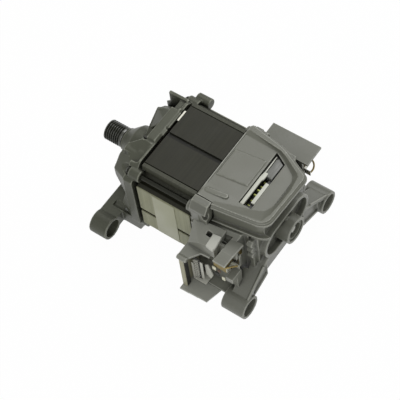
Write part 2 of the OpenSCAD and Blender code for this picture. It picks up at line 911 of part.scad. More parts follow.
module terminal_cover() {
    gap = 0.2;
    color("#6f707c") block([slot_x + 2.5 + gap, key_y + gap, block_top - 1],
        [slot_x + slot_w - 2.5 - gap, key_y + 16 - gap, dish_z + 0.6]);
}

module terminal_blades() {
    blades = 6;
    pitch = cell_len / blades;
    blade_t = 0.8;
    blade_w = 3;
    color("#c9b458") for (i = [0:blades - 1])
        translate([cell_x + (cell_w - blade_w) / 2, cell_from + (i + 0.5) * pitch - blade_t / 2, cell_floor])
            cube([blade_w, blade_t, block_top - 1 - cell_floor]);
}

// Brush gear. Pieces are drawn on the far side (+Y) and mirrored for the near side.

module brush_guide() {
    w = brush_w / 2 + fit_gap;
    h = brush_h / 2 + fit_gap;
    color("#b8963e") {
        difference() {
            block([brush_x - w - guide_wall, guide_in, -h - guide_wall],
                [brush_x + w + guide_wall, guide_out, h + guide_wall]);
            block([brush_x - w, guide_in - 1, -h], [brush_x + w, guide_out - guide_wall, h]);
        }
        // Lugs that bear on the outside of the shield wall
        for (s = [-1, 1]) translate([s * (w + guide_wall + guide_lip / 2), 0, 0])
            block([brush_x - guide_lip / 2 - eps / 2, shell_y, -h],
                [brush_x + guide_lip / 2 + eps / 2, shell_y + guide_wall, h]);
    }
}

module carbon_brush() {
    y0 = comm_r + fit_gap;
    color("#2a2927") difference() {
        block([brush_x - brush_w / 2, comm_r - 1.5, -brush_h / 2],
            [brush_x + brush_w / 2, y0 + brush_len, brush_h / 2]);
        bar_x(brush_x - brush_w, brush_x + brush_w, y0);
    }
}

// Helix of a spring between two lengths along Y, as rings of a tube
function spring_point(t) = let (a = 360 * spring_turns * t)
    [brush_x + spring_r * cos(a), spring_in + spring_wire + (spring_out - spring_in - 2 * spring_wire) * t,
        spring_r * sin(a)];
function spring_gap() = (spring_out - spring_in - 2 * spring_wire) / spring_turns - spring_wire;

module brush_spring() {
    rings = spring_turns * 8;
    sides = 6;
    points = [for (i = [0:rings], k = [0:sides - 1])
        let (t = i / rings, a = 360 * spring_turns * t, b = 360 * k / sides,
            reach = spring_r + spring_wire / 2 * cos(b), base = spring_point(t))
        [brush_x + reach * cos(a), base[1] + spring_wire / 2 * sin(b), reach * sin(a)]];
    walls = [for (i = [0:rings - 1], k = [0:sides - 1], half = [0, 1])
        let (a = i * sides + k, b = i * sides + (k + 1) % sides, c = a + sides, d = b + sides)
        half == 0 ? [a, c, b] : [b, c, d]];
    first = [for (k = [1:sides - 2]) [0, k, k + 1]];
    last = [for (k = [1:sides - 2]) let (o = rings * sides) [o, o + k + 1, o + k]];
    color("#8f8f88") polyhedron(points = points, faces = concat(walls, first, last));
}

echo(least_spring_gap = spring_gap());

module brush_terminal() {
    blade_t = 0.8;
    blade_w = 6.3;
    x0 = brush_x + brush_w / 2 + fit_gap + guide_wall;
    color("#c8c8c0") {
        block([x0, shell_y + 4, -blade_w / 2], [x0 + blade_t, guide_out, blade_w / 2]);
        block([x0, shell_y + 4, -blade_w / 2], [x0 + 8, shell_y + 4 + blade_t, blade_w / 2]);
    }
}

module near_side() {
    mirror([0, 1, 0]) children();
}

module brush_guide_far() {
    brush_guide();
}

module carbon_brush_far() {
    carbon_brush();
}

module brush_spring_far() {
    brush_spring();
}

module brush_terminal_far() {
    brush_terminal();
}

module brush_guide_near() {
    near_side() brush_guide();
}

module carbon_brush_near() {
    near_side() carbon_brush();
}

module brush_spring_near() {
    near_side() brush_spring();
}

module brush_terminal_near() {
    near_side() brush_terminal();
}

// Space round one brush guide that the housings leave free
module guide_space() {
    w = brush_w / 2 + fit_gap + guide_wall + guide_lip + window_gap;
    block([brush_x - w, shell_y - 1, -brush_h / 2 - 2], [brush_x + w + 6, guide_out + 4, brush_h / 2 + 2]);
}

// Far brush housing: a flat roof on a back plate, closed at the front end
module brush_housing_far() {
    reach = 23;
    y1 = shell_y + reach;
    drop = 40;
    color("#66675f") difference() {
        union() {
            block([housing_x, shell_y, cover_top - skin_t], [housing_end, y1, cover_top]);
            block([housing_x, shell_y, cover_top - drop], [housing_end - 6, shell_y + skin_t, cover_top]);
            along_y_wall(housing_x, y1, drop);
        }
        guide_space();
    }
}

// A three-cornered end wall under a roof that reaches out to y1
module along_y_wall(x0, y1, drop) {
    along_x(x0, skin_t) polygon([[shell_y, cover_top], [y1, cover_top], [y1, cover_top - 8],
        [shell_y + skin_t, cover_top - drop], [shell_y, cover_top - drop]]);
}

// Connector housing on the near side: roof, end wall, floor, catch and a canopy over the brush
module connector_housing() {
    y0 = shell_y;
    roof_end = brush_x - 17;
    floor_end = brush_x + 3;
    canopy_x = brush_x - 2;
    canopy_end = canopy_x + 15;
    tab_x = brush_x - 16;
    step_x = brush_x + 3;
    color("#66675f") near_side() difference() {
        union() {
            // Back plate, lower beside the roof than under the canopy
            block([housing_x, y0, socket_bottom], [floor_end, y0 + skin_t, socket_top]);
            block([tab_x - 3, y0, 0], [canopy_end, y0 + skin_t, cover_top]);
            // Roof with a round lip, end wall and floor
            block([housing_x, y0, socket_top - skin_t], [roof_end, socket_y, socket_top]);
            bar_x(housing_x, roof_end, skin_t, socket_y, socket_top - skin_t / 2);
            block([housing_x, y0, socket_bottom], [housing_x + skin_t, socket_y - 4, socket_top]);
            block([housing_x, y0, socket_bottom], [floor_end, y0 + 17, socket_bottom + skin_t]);
            // Tongue of the catch and the canopy
            block([tab_x, y0, cover_top - skin_t], [tab_x + 7, y0 + 12, cover_top]);
            along_x(canopy_x, canopy_end - canopy_x) polygon([[y0, cover_top], [y0 + 10, cover_top],
                [y0 + 19, cover_top - 10], [y0 + 19, cover_top - 12.5], [y0 + 17, cover_top - 12.5],
                [y0 + 9, cover_top - skin_t], [y0, cover_top - skin_t]]);
            // Step below the brush
            block([step_x, y0, -19], [step_x + 9, y0 + 15, -12]);
        }
        guide_space();
    }
}

carrier_x = housing_x + skin_t + 0.2;

module contact_carrier() {
    y0 = shell_y + skin_t;
    bar_w = 6;
    base_end = brush_x - 20;
    color("#b9b69c") near_side() {
        block([carrier_x, y0, socket_bottom + skin_t], [base_end, y0 + 6, socket_top - skin_t]);
        block([carrier_x, y0, socket_bottom + skin_t],
            [carrier_x + bar_w, socket_y - 2, socket_top - skin_t]);
    }
}

module contact_blades() {
    y0 = shell_y + skin_t + 6;
    blade_t = 0.8;
    blade_w = 6;
    top_z = socket_top - skin_t - 5;
    color("#c9c9c0") near_side() for (i = [0:blade_count - 1])
        block([carrier_x + 8, y0, top_z - i * blade_pitch - blade_t],
            [carrier_x + 8 + blade_w, y0 + 14, top_z - i * blade_pitch]);
}

module splash_plate() {
    y0 = shell_y;
    color("#66675f") near_side() translate([0, 0, socket_bottom - skin_t]) linear_extrude(skin_t)
        polygon([[housing_x, y0], [housing_x, socket_y + 3], [housing_x + 29, socket_y + 1.5],
            [housing_x + 34, y0 + 10], [housing_x + 34, y0]]);
}

front_shield();
rear_shield();
hood();
stator_core();
field_coil_upper();
field_coil_lower();
end_insulator_front();
end_insulator_rear();
stator_bolts();
pulley();
shaft();
cooling_fan();
armature_core();
armature_winding();
armature_end_discs();
commutator_hub();
commutator_bars();
preload_washer();
front_bearing_outer();
front_bearing_inner();
front_bearing_balls();
rear_bearing_outer();
rear_bearing_inner();
rear_bearing_balls();
tacho_magnet();
tacho_coil();
terminal_block();
terminal_cover();
terminal_blades();
connector_housing();
contact_carrier();
contact_blades();
splash_plate();
brush_guide_near();
carbon_brush_near();
brush_spring_near();
brush_terminal_near();
brush_housing_far();
brush_guide_far();
carbon_brush_far();
brush_spring_far();
brush_terminal_far();
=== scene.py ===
"""Looks for a belt-drive washing machine motor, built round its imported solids.

Lengths are in millimetres unless metres are named. Shapes are made in metres.
"""
import logging
import math
from dataclasses import dataclass
from enum import Enum
from typing import Callable, Iterable, Mapping, Sequence

import bmesh
import bpy
from bmesh.types import BMesh, BMVert
from bpy.types import Mesh, Node, NodeSocket, NodeTree, Object
from mathutils import Matrix, Vector


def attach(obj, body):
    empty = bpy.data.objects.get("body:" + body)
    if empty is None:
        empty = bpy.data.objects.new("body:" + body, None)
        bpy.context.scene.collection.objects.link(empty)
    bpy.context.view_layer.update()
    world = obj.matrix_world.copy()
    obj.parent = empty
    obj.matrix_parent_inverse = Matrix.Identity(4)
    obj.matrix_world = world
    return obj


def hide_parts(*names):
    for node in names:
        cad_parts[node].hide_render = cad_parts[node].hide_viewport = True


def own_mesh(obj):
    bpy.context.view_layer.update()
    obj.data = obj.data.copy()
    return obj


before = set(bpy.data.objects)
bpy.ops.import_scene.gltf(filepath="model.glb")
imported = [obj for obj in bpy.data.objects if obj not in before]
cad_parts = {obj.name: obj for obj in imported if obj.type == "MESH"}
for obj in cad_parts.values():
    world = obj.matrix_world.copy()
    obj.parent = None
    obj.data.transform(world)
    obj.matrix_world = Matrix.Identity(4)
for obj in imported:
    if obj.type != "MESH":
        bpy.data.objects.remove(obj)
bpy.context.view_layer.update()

log = logging.getLogger("motor")
MM = 0.001
MERGE = 1e-6
FINE_BEVEL = 2
CORNER_BEVEL = 4
ROUND_SIDES = 40
EDGE_TURN = 0.5
SHARP_TURN = math.radians(40)
MIX_INPUTS, MIX_RESULT = (0, 6, 7), 2
EDGE_FROM, EDGE_TO = 0.506, 0.545
CREASE_FROM, CREASE_TO = 0.45, 0.493
SHELTER_FROM, SHELTER_TO = 0.3, 0.9
GLOSS_SWING = 0.07
Colour = tuple[float, float, float, float]
Point = tuple[float, float, float]
Flat = tuple[float, float]
Surface = tuple[NodeSocket, NodeSocket, NodeSocket]
Sockets = Mapping[str, NodeSocket]


class Body(str, Enum):
    """Rigid bodies that new pieces ride on."""

    FRAME = "frame"
    ROTOR = "rotor"


class Side(Enum):
    """The two sides of the motor, as the sign of Y."""

    NEAR = -1
    FAR = 1


class Axis(Enum):
    """The axes of the part, as an index."""

    X = 0
    Y = 1
    Z = 2


def tint(red: int, green: int, blue: int) -> Colour:
    """Turns a screen colour into linear light.

    Args:
        red, green, blue: Screen values from 0 to 255.

    Returns:
        The linear colour with full alpha.
    """
    def linear(value: int) -> float:
        """Linear light of one channel."""
        part = value / 255
        return part / 12.92 if part <= 0.04045 else ((part + 0.055) / 1.055) ** 2.4

    return (linear(red), linear(green), linear(blue), 1.0)


class Graph:
    """A short way to write shader nodes and links in one tree."""

    def __init__(self, tree: NodeTree) -> None:
        """Keeps the tree that nodes go into."""
        self.tree = tree

    def add(self, kind: str, settings: dict | None = None, **sockets: object) -> Node:
        """Adds a node, sets its options, and fills or links its inputs.

        Args:
            kind: Blender's name of the node type.
            settings: Options of the node.
            **sockets: Input name, with _ for a space, to a value or an output socket.

        Returns:
            The new node.
        """
        node = self.tree.nodes.new(kind)
        for name, value in (settings or {}).items():
            setattr(node, name, value)
        for name, value in sockets.items():
            self.fill(node.inputs[name.replace("_", " ")], value)
        return node

    def fill(self, socket: NodeSocket, value: object) -> None:
        """Links an output into a socket, or sets its plain value."""
        if isinstance(value, NodeSocket):
            self.tree.links.new(value, socket)
        else:
            socket.default_value = value

    def math(self, operation: str, first: object, second: object = 0.0) -> NodeSocket:
        """Adds a math node and returns its result."""
        node = self.add("ShaderNodeMath", {"operation": operation})
        self.fill(node.inputs[0], first)
        self.fill(node.inputs[1], second)
        return node.outputs[0]

    def swung(self, value: object, swing: object) -> NodeSocket:
        """Moves the middle of a value from 0.5 to 0 and scales its swing."""
        return self.math("MULTIPLY", self.math("SUBTRACT", value, 0.5), swing)

    def ramp(self, value: object, low: float, high: float, to_low: float = 0.0,
             to_high: float = 1.0) -> NodeSocket:
        """Maps a value from one range to another, smoothly and clamped."""
        way = {"interpolation_type": "SMOOTHSTEP", "clamp": True}
        return self.add("ShaderNodeMapRange", way, Value=value, From_Min=low, From_Max=high,
                        To_Min=to_low, To_Max=to_high).outputs[0]

    def blend(self, factor: object, first: object, second: object) -> NodeSocket:
        """Mixes two colours and returns the result."""
        node = self.add("ShaderNodeMix", {"data_type": "RGBA", "clamp_factor": True})
        for place, value in zip(MIX_INPUTS, (factor, first, second)):
            self.fill(node.inputs[place], value)
        return node.outputs[MIX_RESULT]

    def shaded(self, colour: object, factor: object) -> NodeSocket:
        """Makes a colour lighter or darker by a factor."""
        way = {"operation": "SCALE"}
        return self.add("ShaderNodeVectorMath", way, Vector=colour, Scale=factor).outputs[0]

    def place(self, scale: Point = (1, 1, 1)) -> NodeSocket:
        """Object coordinates in metres, stretched by scale."""
        spot = self.add("ShaderNodeTexCoord").outputs["Object"]
        return self.add("ShaderNodeMapping", Vector=spot, Scale=scale).outputs[0]

    def along(self, axis: Axis) -> NodeSocket:
        """One object coordinate in metres."""
        spot = self.add("ShaderNodeTexCoord").outputs["Object"]
        return self.add("ShaderNodeSeparateXYZ", Vector=spot).outputs[axis.value]

    def noise(self, spot: object, scale: object, detail: float, rough: float = 0.5) -> NodeSocket:
        """Cloudy noise between about 0.2 and 0.8."""
        return self.add("ShaderNodeTexNoise", Vector=spot, Scale=scale, Detail=detail,
                        Roughness=rough).outputs[0]

    def use(self, tree: NodeTree, **sockets: object) -> Sockets:
        """Adds a node group, fills its inputs and returns its outputs."""
        return self.add("ShaderNodeGroup", {"node_tree": tree}, **sockets).outputs


NUMBER, TINT = "NodeSocketFloat", "NodeSocketColor"
GREY: Colour = (0.5, 0.5, 0.5, 1.0)
Wiring = Callable[[Graph, Sockets], Sockets]


def fresh_graph(owner: bpy.types.ID) -> Graph:
    """Empties the node tree of a material or world, to be filled anew."""
    owner.use_nodes = True
    owner.node_tree.nodes.clear()
    return Graph(owner.node_tree)


def shader_group(name: str, takes: dict[str, object], wire: Wiring) -> NodeTree:
    """Makes a shader node group once.

    Args:
        name: Name of the group.
        takes: Inputs with their defaults, where a tuple is a colour.
        wire: Makes the outputs, by name, from the graph and its inputs.

    Returns:
        The node group.
    """
    if name in bpy.data.node_groups:
        return bpy.data.node_groups[name]
    tree = bpy.data.node_groups.new(name, "ShaderNodeTree")
    for label, start in takes.items():
        kind = TINT if isinstance(start, tuple) else NUMBER
        tree.interface.new_socket(label, in_out="INPUT", socket_type=kind).default_value = start
    graph = Graph(tree)
    results = wire(graph, graph.add("NodeGroupInput").outputs)
    for label in results:
        kind = TINT if label == "Colour" else NUMBER
        tree.interface.new_socket(label, in_out="OUTPUT", socket_type=kind)
    graph.add("NodeGroupOutput", **results)
    return tree


def skin_group() -> NodeTree:
    """Uneven tone and fine grain of a cast or moulded skin."""
    def wire(graph: Graph, taken: Sockets) -> Sockets:
        """Clouds of tone, with a fine grain for bump."""
        spot = graph.place()
        cloud = graph.noise(spot, taken["Cloud"], 4.0, 0.6)
        grain = graph.noise(spot, taken["Grain"], 2.0, 0.55)
        fleck = graph.swung(grain, graph.math("MULTIPLY", taken["Swing"], 0.6))
        drift = graph.math("ADD", graph.swung(cloud, taken["Swing"]), fleck)
        shade = graph.shaded(taken["Colour"], graph.math("ADD", 1.0, drift))
        return {"Colour": shade, "Height": grain, "Gloss": cloud}

    return shader_group("uneven skin", {"Colour": GREY, "Swing": 0.3, "Cloud": 60.0, "Grain": 900.0}, wire)


def wear_and_light_group() -> NodeTree:
    """Paler corners from rubbing and painted highlight, and darker creases from soiling and painted shade, by how far
    a place stands proud and how open it is.
    """
    def wire(graph: Graph, taken: Sockets) -> Sockets:
        """Breaks up the edge mask with noise."""
        patch = graph.noise(graph.place(), 220.0, 3.0)
        proud = graph.math("ADD", taken["Proud"], graph.swung(patch, 0.015))
        open_sky = graph.math("ADD", taken["Open"], graph.swung(patch, 0.25))
        # Pale proud edges: rubbing and painted highlight.
        edge = graph.math("MULTIPLY", graph.ramp(proud, EDGE_FROM, EDGE_TO), taken["Wear"])
        # Dark creases and sheltered hollows: soiling and painted shade.
        crease = graph.math("MAXIMUM", graph.ramp(proud, CREASE_FROM, CREASE_TO, 1.0, 0.0),
                            graph.ramp(open_sky, SHELTER_FROM, SHELTER_TO, 1.0, 0.0))
        worn_and_lit = graph.blend(edge, taken["Colour"], taken["Bare"])
        dirt_and_shade = graph.math("MULTIPLY", crease, taken["Dirt"])
        return {"Colour": graph.blend(dirt_and_shade, worn_and_lit, taken["Grime"])}

    return shader_group("weathering and painted light", {"Colour": GREY, "Bare": GREY, "Grime": GREY, "Proud": 0.5,
                                       "Open": 1.0, "Wear": 0.4, "Dirt": 0.4}, wire)


def sheets_group() -> NodeTree:
    """Edges of stacked steel sheets, one after another along the shaft."""
    def wire(graph: Graph, taken: Sockets) -> Sockets:
        """A dark line between sheets and a tone of its own for each."""
        count = graph.math("DIVIDE", graph.along(Axis.X), taken["Sheet"])
        middle = graph.math("SUBTRACT", graph.math("FRACT", count), 0.5)
        gap = graph.ramp(graph.math("ABSOLUTE", middle), 0.32, 0.5)
        one_way = {"noise_dimensions": "1D"}
        own = graph.add("ShaderNodeTexWhiteNoise", one_way, W=graph.math("FLOOR", count)).outputs[0]
        bundle = graph.add("ShaderNodeTexNoise", one_way, W=count, Scale=0.14, Detail=2.0).outputs[0]
        both = graph.math("ADD", graph.swung(own, 1.0), graph.swung(bundle, 2.4))
        tone = graph.math("ADD", 1.0, graph.math("MULTIPLY", both, taken["Swing"]))
        line = graph.math("SUBTRACT", tone, graph.math("MULTIPLY", gap, taken["Swing"]))
        return {"Colour": graph.shaded(taken["Colour"], line), "Height": graph.math("SUBTRACT", 1.0, gap)}

    return shader_group("sheet edges", {"Colour": GREY, "Sheet": 0.00065, "Swing": 0.2}, wire)


def lathe_group() -> NodeTree:
    """Fine turning marks round the shaft."""
    def wire(graph: Graph, taken: Sockets) -> Sockets:
        """Noise that changes quickly along the shaft and slowly round it."""
        marks = graph.noise(graph.place((1.0, 0.02, 0.02)), taken["Pitch"], 3.0, 0.7)
        lift = graph.math("ADD", 1.0, graph.swung(marks, taken["Swing"]))
        return {"Colour": graph.shaded(taken["Colour"], lift), "Height": marks}

    return shader_group("turning marks", {"Colour": GREY, "Pitch": 4000.0, "Swing": 0.4}, wire)


@dataclass(frozen=True)
class Finish:
    """A plain skin: one tone with clouds, grain and a soft sheen.

    Attributes:
        name: Name of the material.
        base: Main colour.
        rough: Middle of the roughness.
        metal: Share of metal.
        swing: How much the tone changes over the surface.
        cloud: Clouds of tone per metre.
        grain: Grains per metre.
        bump: Depth of the grain.
        shine: Strength of the mirror part.
    """

    name: str
    base: Colour
    rough: float = 0.55
    metal: float = 0.0
    swing: float = 0.25
    cloud: float = 60.0
    grain: float = 900.0
    bump: float = 0.05
    shine: float = 0.5

    def material(self) -> bpy.types.Material:
        """Makes the material on first use.

        Returns:
            The Blender material.
        """
        known = bpy.data.materials.get(self.name)
        if known is not None:
            return known
        made = bpy.data.materials.new(self.name)
        graph = fresh_graph(made)
        colour, height, cloud = self.surface(graph)
        gloss = graph.ramp(cloud, 0.25, 0.75, self.rough - GLOSS_SWING, self.rough + GLOSS_SWING)
        bump = graph.add("ShaderNodeBump", Height=height, Distance=self.bump * MM, Strength=0.6)
        shader = graph.add("ShaderNodeBsdfPrincipled", Metallic=self.metal, Roughness=gloss,
                           Specular_IOR_Level=self.shine, Base_Color=colour, Normal=bump.outputs[0])
        graph.add("ShaderNodeOutputMaterial", Surface=shader.outputs[0])
        made.diffuse_color = self.base
        return made

    def surface(self, graph: Graph) -> Surface:
        """Colour, height and clouds of the surface."""
        skin = self.skin(graph, self.base)
        return skin["Colour"], skin["Height"], skin["Gloss"]

    def skin(self, graph: Graph, colour: object) -> Sockets:
        """Adds the uneven skin over a colour."""
        return graph.use(skin_group(), Colour=colour, Swing=self.swing, Cloud=self.cloud, Grain=self.grain)


@dataclass(frozen=True)
class WearAndLightFinish(Finish):
    """A skin with pale edges from rubbing and painted highlight, and dark creases from soiling and painted shade.

    Attributes:
        bare: Colour of the pale edges, from rubbing and painted highlight.
        grime: Colour of the dark creases, from soiling and painted shade.
        wear: Strength of the pale edges, from rubbing and painted highlight.
        dirt: Strength of the dark creases, from soiling and painted shade.
        reach: How near a wall must be for a place to darken with soiling and painted shade.
    """

    bare: Colour = GREY
    grime: Colour = (0.02, 0.02, 0.016, 1.0)
    wear: float = 0.5
    dirt: float = 0.6
    reach: float = 6.0

    def surface(self, graph: Graph) -> Surface:
        """Adds pale edges, from rubbing and painted highlight, and dark creases, from soiling and painted shade, over
        the uneven skin.
        """
        skin = self.skin(graph, self.base)
        # Pointiness pales proud edges: rubbing and painted highlight.
        proud = graph.add("ShaderNodeNewGeometry").outputs["Pointiness"]
        # Ambient occlusion darkens sheltered hollows and gaps: painted shade, with some soiling.
        shelter = graph.add("ShaderNodeAmbientOcclusion", {"samples": 8}, Distance=self.reach * MM)
        worn_and_lit = graph.use(wear_and_light_group(), Colour=skin["Colour"], Bare=self.bare, Grime=self.grime,
                         Proud=proud, Open=shelter.outputs["AO"], Wear=self.wear, Dirt=self.dirt)
        return worn_and_lit["Colour"], skin["Height"], skin["Gloss"]


@dataclass(frozen=True)
class SheetFinish(Finish):
    """Edges of steel sheets: dark varnish on top, bare metal on the outer sides.

    Attributes:
        bare: Colour of the bare outer sides.
        bare_from: Distance from the shaft, in metres along Y, where the bare sides begin.
        ridge: Colour of the rubbed ridges beside the bolt channels.
        ridge_from, ridge_to: Where the ridges are, in metres along Y.
        groove: Half the width of the middle groove, which is darkened with painted shade, in metres.
        sheet: Thickness of one sheet in metres.
        step: How much the tone changes from sheet to sheet.
    """

    bare: Colour = GREY
    bare_from: float = 1.0
    ridge: Colour = GREY
    ridge_from: float = 1.0
    ridge_to: float = 1.1
    groove: float = 0.0
    sheet: float = 0.00065
    step: float = 0.16

    def surface(self, graph: Graph) -> Surface:
        """Chooses varnish or bare metal by place, darkens the middle groove with painted shade, then draws the
        sheets.
        """
        reach = graph.math("ABSOLUTE", graph.along(Axis.Y))
        side = graph.math("GREATER_THAN", reach, self.bare_from)
        on_ridge = graph.math("MULTIPLY", graph.math("GREATER_THAN", reach, self.ridge_from),
                              graph.math("LESS_THAN", reach, self.ridge_to))
        tone = graph.blend(on_ridge, graph.blend(side, self.base, self.bare), self.ridge)
        # Painted shade: the middle groove is darkened to 0.4 of its tone.
        groove_shade = graph.ramp(reach, self.groove * 0.7, self.groove * 1.3 + MERGE, 0.4, 1.0)
        skin = self.skin(graph, graph.shaded(tone, groove_shade))
        edges = graph.use(sheets_group(), Colour=skin["Colour"], Sheet=self.sheet, Swing=self.step)
        return edges["Colour"], edges["Height"], skin["Gloss"]


@dataclass(frozen=True)
class TurnedFinish(Finish):
    """Metal turned on a lathe about the shaft axis."""

    def surface(self, graph: Graph) -> Surface:
        """Turning marks over an uneven skin."""
        skin = self.skin(graph, self.base)
        marks = graph.use(lathe_group(), Colour=skin["Colour"])
        return marks["Colour"], marks["Height"], skin["Gloss"]


@dataclass(frozen=True)
class LowShadeFinish(Finish):
    """A moulded piece with painted shade: its low inside is painted dark.

    Attributes:
        shade_colour: Colour of the painted shade on the low inside.
        level: Height in metres below which the painted shade lies.
    """

    shade_colour: Colour = (0.01, 0.01, 0.009, 1.0)
    level: float = 0.0

    def surface(self, graph: Graph) -> Surface:
        """Blends to the painted shade below the level."""
        # Painted shade: all below the level is painted dark.
        low = graph.ramp(graph.along(Axis.Z), self.level - MM, self.level, 1.0, 0.0)
        skin = self.skin(graph, graph.blend(low, self.base, self.shade_colour))
        return skin["Colour"], skin["Height"], skin["Gloss"]


# These finishes paint a highlight on edges and shade in creases and hollows, along with their rubbing and soiling.
CAST = WearAndLightFinish("cast alloy", tint(72, 74, 62), 0.42, 0.25, 0.38, 45, 700, 0.12, bare=tint(150, 152, 138), wear=0.5,
                  dirt=0.9)
SHELL = WearAndLightFinish("grey shell", tint(99, 100, 91), 0.38, 0, 0.20, 40, 1100, 0.05, bare=tint(168, 169, 158), wear=0.5,
                   dirt=0.9)
HOOD = WearAndLightFinish("grey hood", tint(98, 99, 89), 0.36, 0, 0.16, 35, 1200, 0.03, bare=tint(178, 179, 170), wear=0.6,
                  dirt=0.9)
HOUSING = WearAndLightFinish("grey housing", tint(120, 121, 112), 0.38, 0, 0.16, 45, 1100, 0.04, bare=tint(180, 181, 172),
                     wear=0.5, dirt=0.7)
SHEETS = SheetFinish("sheet edges", tint(38, 38, 27), 0.5, 0, 0.22, 30, 800, 0.05, 0.3, bare=tint(134, 135, 110),
                     bare_from=0.0515,
                     ridge=tint(66, 67, 56), ridge_from=0.0364, ridge_to=0.0402, groove=0.0024)
ROTOR_SHEETS = SheetFinish("rotor sheet edges", tint(120, 118, 106), 0.4, 0.7, 0.20, 60, 900, 0.05)
PLATE = Finish("bare steel plate", tint(152, 153, 131), 0.45, 0.2, 0.10, 50, 1500, 0.02)
ENAMEL = WearAndLightFinish("varnished winding", tint(88, 46, 26), 0.35, 0.1, 0.5, 120, 1400, 0.3, bare=tint(120, 66, 36),
                    wear=0.3, dirt=0.95, reach=12)
# Painted shade on the insulators below 48.2 mm.
CREAM = LowShadeFinish("cream insulator", tint(232, 230, 216), 0.5, 0, 0.10, 70, 1200, 0.03, level=0.0482)
BOLT = TurnedFinish("dark zinc bolt", tint(44, 45, 38), 0.35, 0.7, 0.3, 120, 900, 0.04)
PULLEY = WearAndLightFinish("oiled pulley steel", tint(26, 27, 20), 0.16, 0, 0.3, 90, 900, 0.02, 1, bare=tint(70, 72, 60),
                    wear=0.5, dirt=0.9, reach=2.5)
SHAFT = TurnedFinish("ground shaft steel", tint(150, 150, 142), 0.25, 0.9, 0.2, 90, 900, 0.01)
BEARING = TurnedFinish("bearing steel", tint(170, 170, 165), 0.2, 0.95, 0.15, 90, 900, 0.01)
FAN = Finish("grey fan", tint(58, 58, 52), 0.5, 0, 0.12, 60, 900, 0.05)
FIBRE = Finish("green fibre", tint(70, 110, 80), 0.7, 0, 0.3, 90, 1500, 0.05)
RESIN = Finish("brown resin", tint(84, 58, 42), 0.5, 0, 0.2, 90, 1200, 0.04)
COPPER = TurnedFinish("turned copper", tint(176, 112, 70), 0.35, 0.9, 0.3, 120, 900, 0.02)
FERRITE = Finish("bonded ferrite", tint(60, 60, 57), 0.6, 0, 0.2, 120, 1500, 0.05)
SENSOR = Finish("grey sensor", tint(92, 94, 83), 0.5, 0, 0.2, 80, 1100, 0.05)
# Painted shade in the terminal block's cells below 45.2 mm.
TERMINAL = LowShadeFinish("pale terminal block", tint(190, 191, 180), 0.4, 0, 0.16, 60, 1200, 0.03, level=0.0452)
COVER = Finish("slate cover", tint(112, 113, 109), 0.42, 0, 0.12, 60, 1200, 0.03)
BRASS = WearAndLightFinish("pressed brass", tint(128, 112, 58), 0.36, 0.5, 0.35, 150, 1200, 0.03, wear=0, dirt=0.95, reach=8)
OLIVE = Finish("pale brass blade", tint(150, 156, 84), 0.4, 0.4, 0.3, 150, 1200, 0.03)
TINNED = Finish("tinned sheet", tint(188, 188, 176), 0.3, 0.85, 0.2, 150, 1200, 0.02)
SPLASH = Finish("grey splash plate", tint(150, 151, 143), 0.4, 0, 0.16, 45, 1100, 0.04)
SHEET = Finish("matt tinned sheet", tint(188, 188, 178), 0.4, 0.1, 0.2, 120, 1200, 0.02)
# Painted shade: a near-black for plates put where there is only shadow.
SHADE = Finish("painted shade black", tint(26, 26, 21), 0.6, 0, 0.2, 80, 1100, 0.03)
TONGUE = Finish("pale tongue", tint(182, 183, 174), 0.4, 0, 0.12, 60, 1100, 0.03)
CLIP = Finish("ivory clip", tint(214, 213, 192), 0.45, 0, 0.15, 80, 1100, 0.03)
CARRIER = Finish("cream carrier", tint(150, 148, 124), 0.5, 0, 0.2, 70, 1200, 0.04)
CARBON = Finish("carbon brush", tint(48, 48, 45), 0.55, 0.2, 0.3, 200, 1800, 0.05)
SPRING = Finish("spring wire", tint(150, 150, 142), 0.3, 0.9, 0.2, 150, 900, 0.01)
BRAID = Finish("braided lead", tint(150, 132, 82), 0.4, 0.6, 0.5, 400, 2500, 0.1)


def as_mesh(name: str, shape: BMesh) -> Mesh:
    """Makes a mesh of a shape, which is freed."""
    mesh = bpy.data.meshes.new(name)
    shape.to_mesh(mesh)
    shape.free()
    return mesh


def as_shape(mesh: Mesh) -> BMesh:
    """Makes a shape of a mesh, which is removed."""
    shape = bmesh.new()
    shape.from_mesh(mesh)
    bpy.data.meshes.remove(mesh)
    return shape


def in_scene(name: str, data: bpy.types.ID) -> Object:
    """Puts a new object into the scene."""
    holder = bpy.data.objects.new(name, data)
    bpy.context.scene.collection.objects.link(holder)
    return holder


def discard(holder: Object) -> None:
    """Removes an object and its mesh."""
    mesh = holder.data
    bpy.data.objects.remove(holder)
    bpy.data.meshes.remove(mesh)


def finished(mesh: Mesh, finish: Finish) -> None:
    """Gives a mesh one material and smooth shading."""
    mesh.materials.clear()
    mesh.materials.append(finish.material())
    mesh.shade_smooth()


def closed(shape: BMesh) -> None:
    """Merges doubles and turns the faces outwards."""
    bmesh.ops.remove_doubles(shape, verts=shape.verts, dist=MERGE)
    bmesh.ops.recalc_face_normals(shape, faces=shape.faces)


def bevelled(shape: BMesh, edges: list[bmesh.types.BMEdge], width: float, segments: int) -> None:
    """Rounds some edges of a shape."""
    bmesh.ops.bevel(shape, geom=edges, offset=width * MM, affect="EDGES", segments=segments, profile=0.5,
                    material=-1, clamp_overlap=True)


def rounded(shape: BMesh, width: float) -> BMesh:
    """Rounds the edges of a shape that turn clearly, and returns it."""
    shape.normal_update()
    sharp = [e for e in shape.edges if len(e.link_faces) == 2 and e.calc_face_angle(0) > EDGE_TURN]
    bevelled(shape, sharp, width, FINE_BEVEL)
    return shape


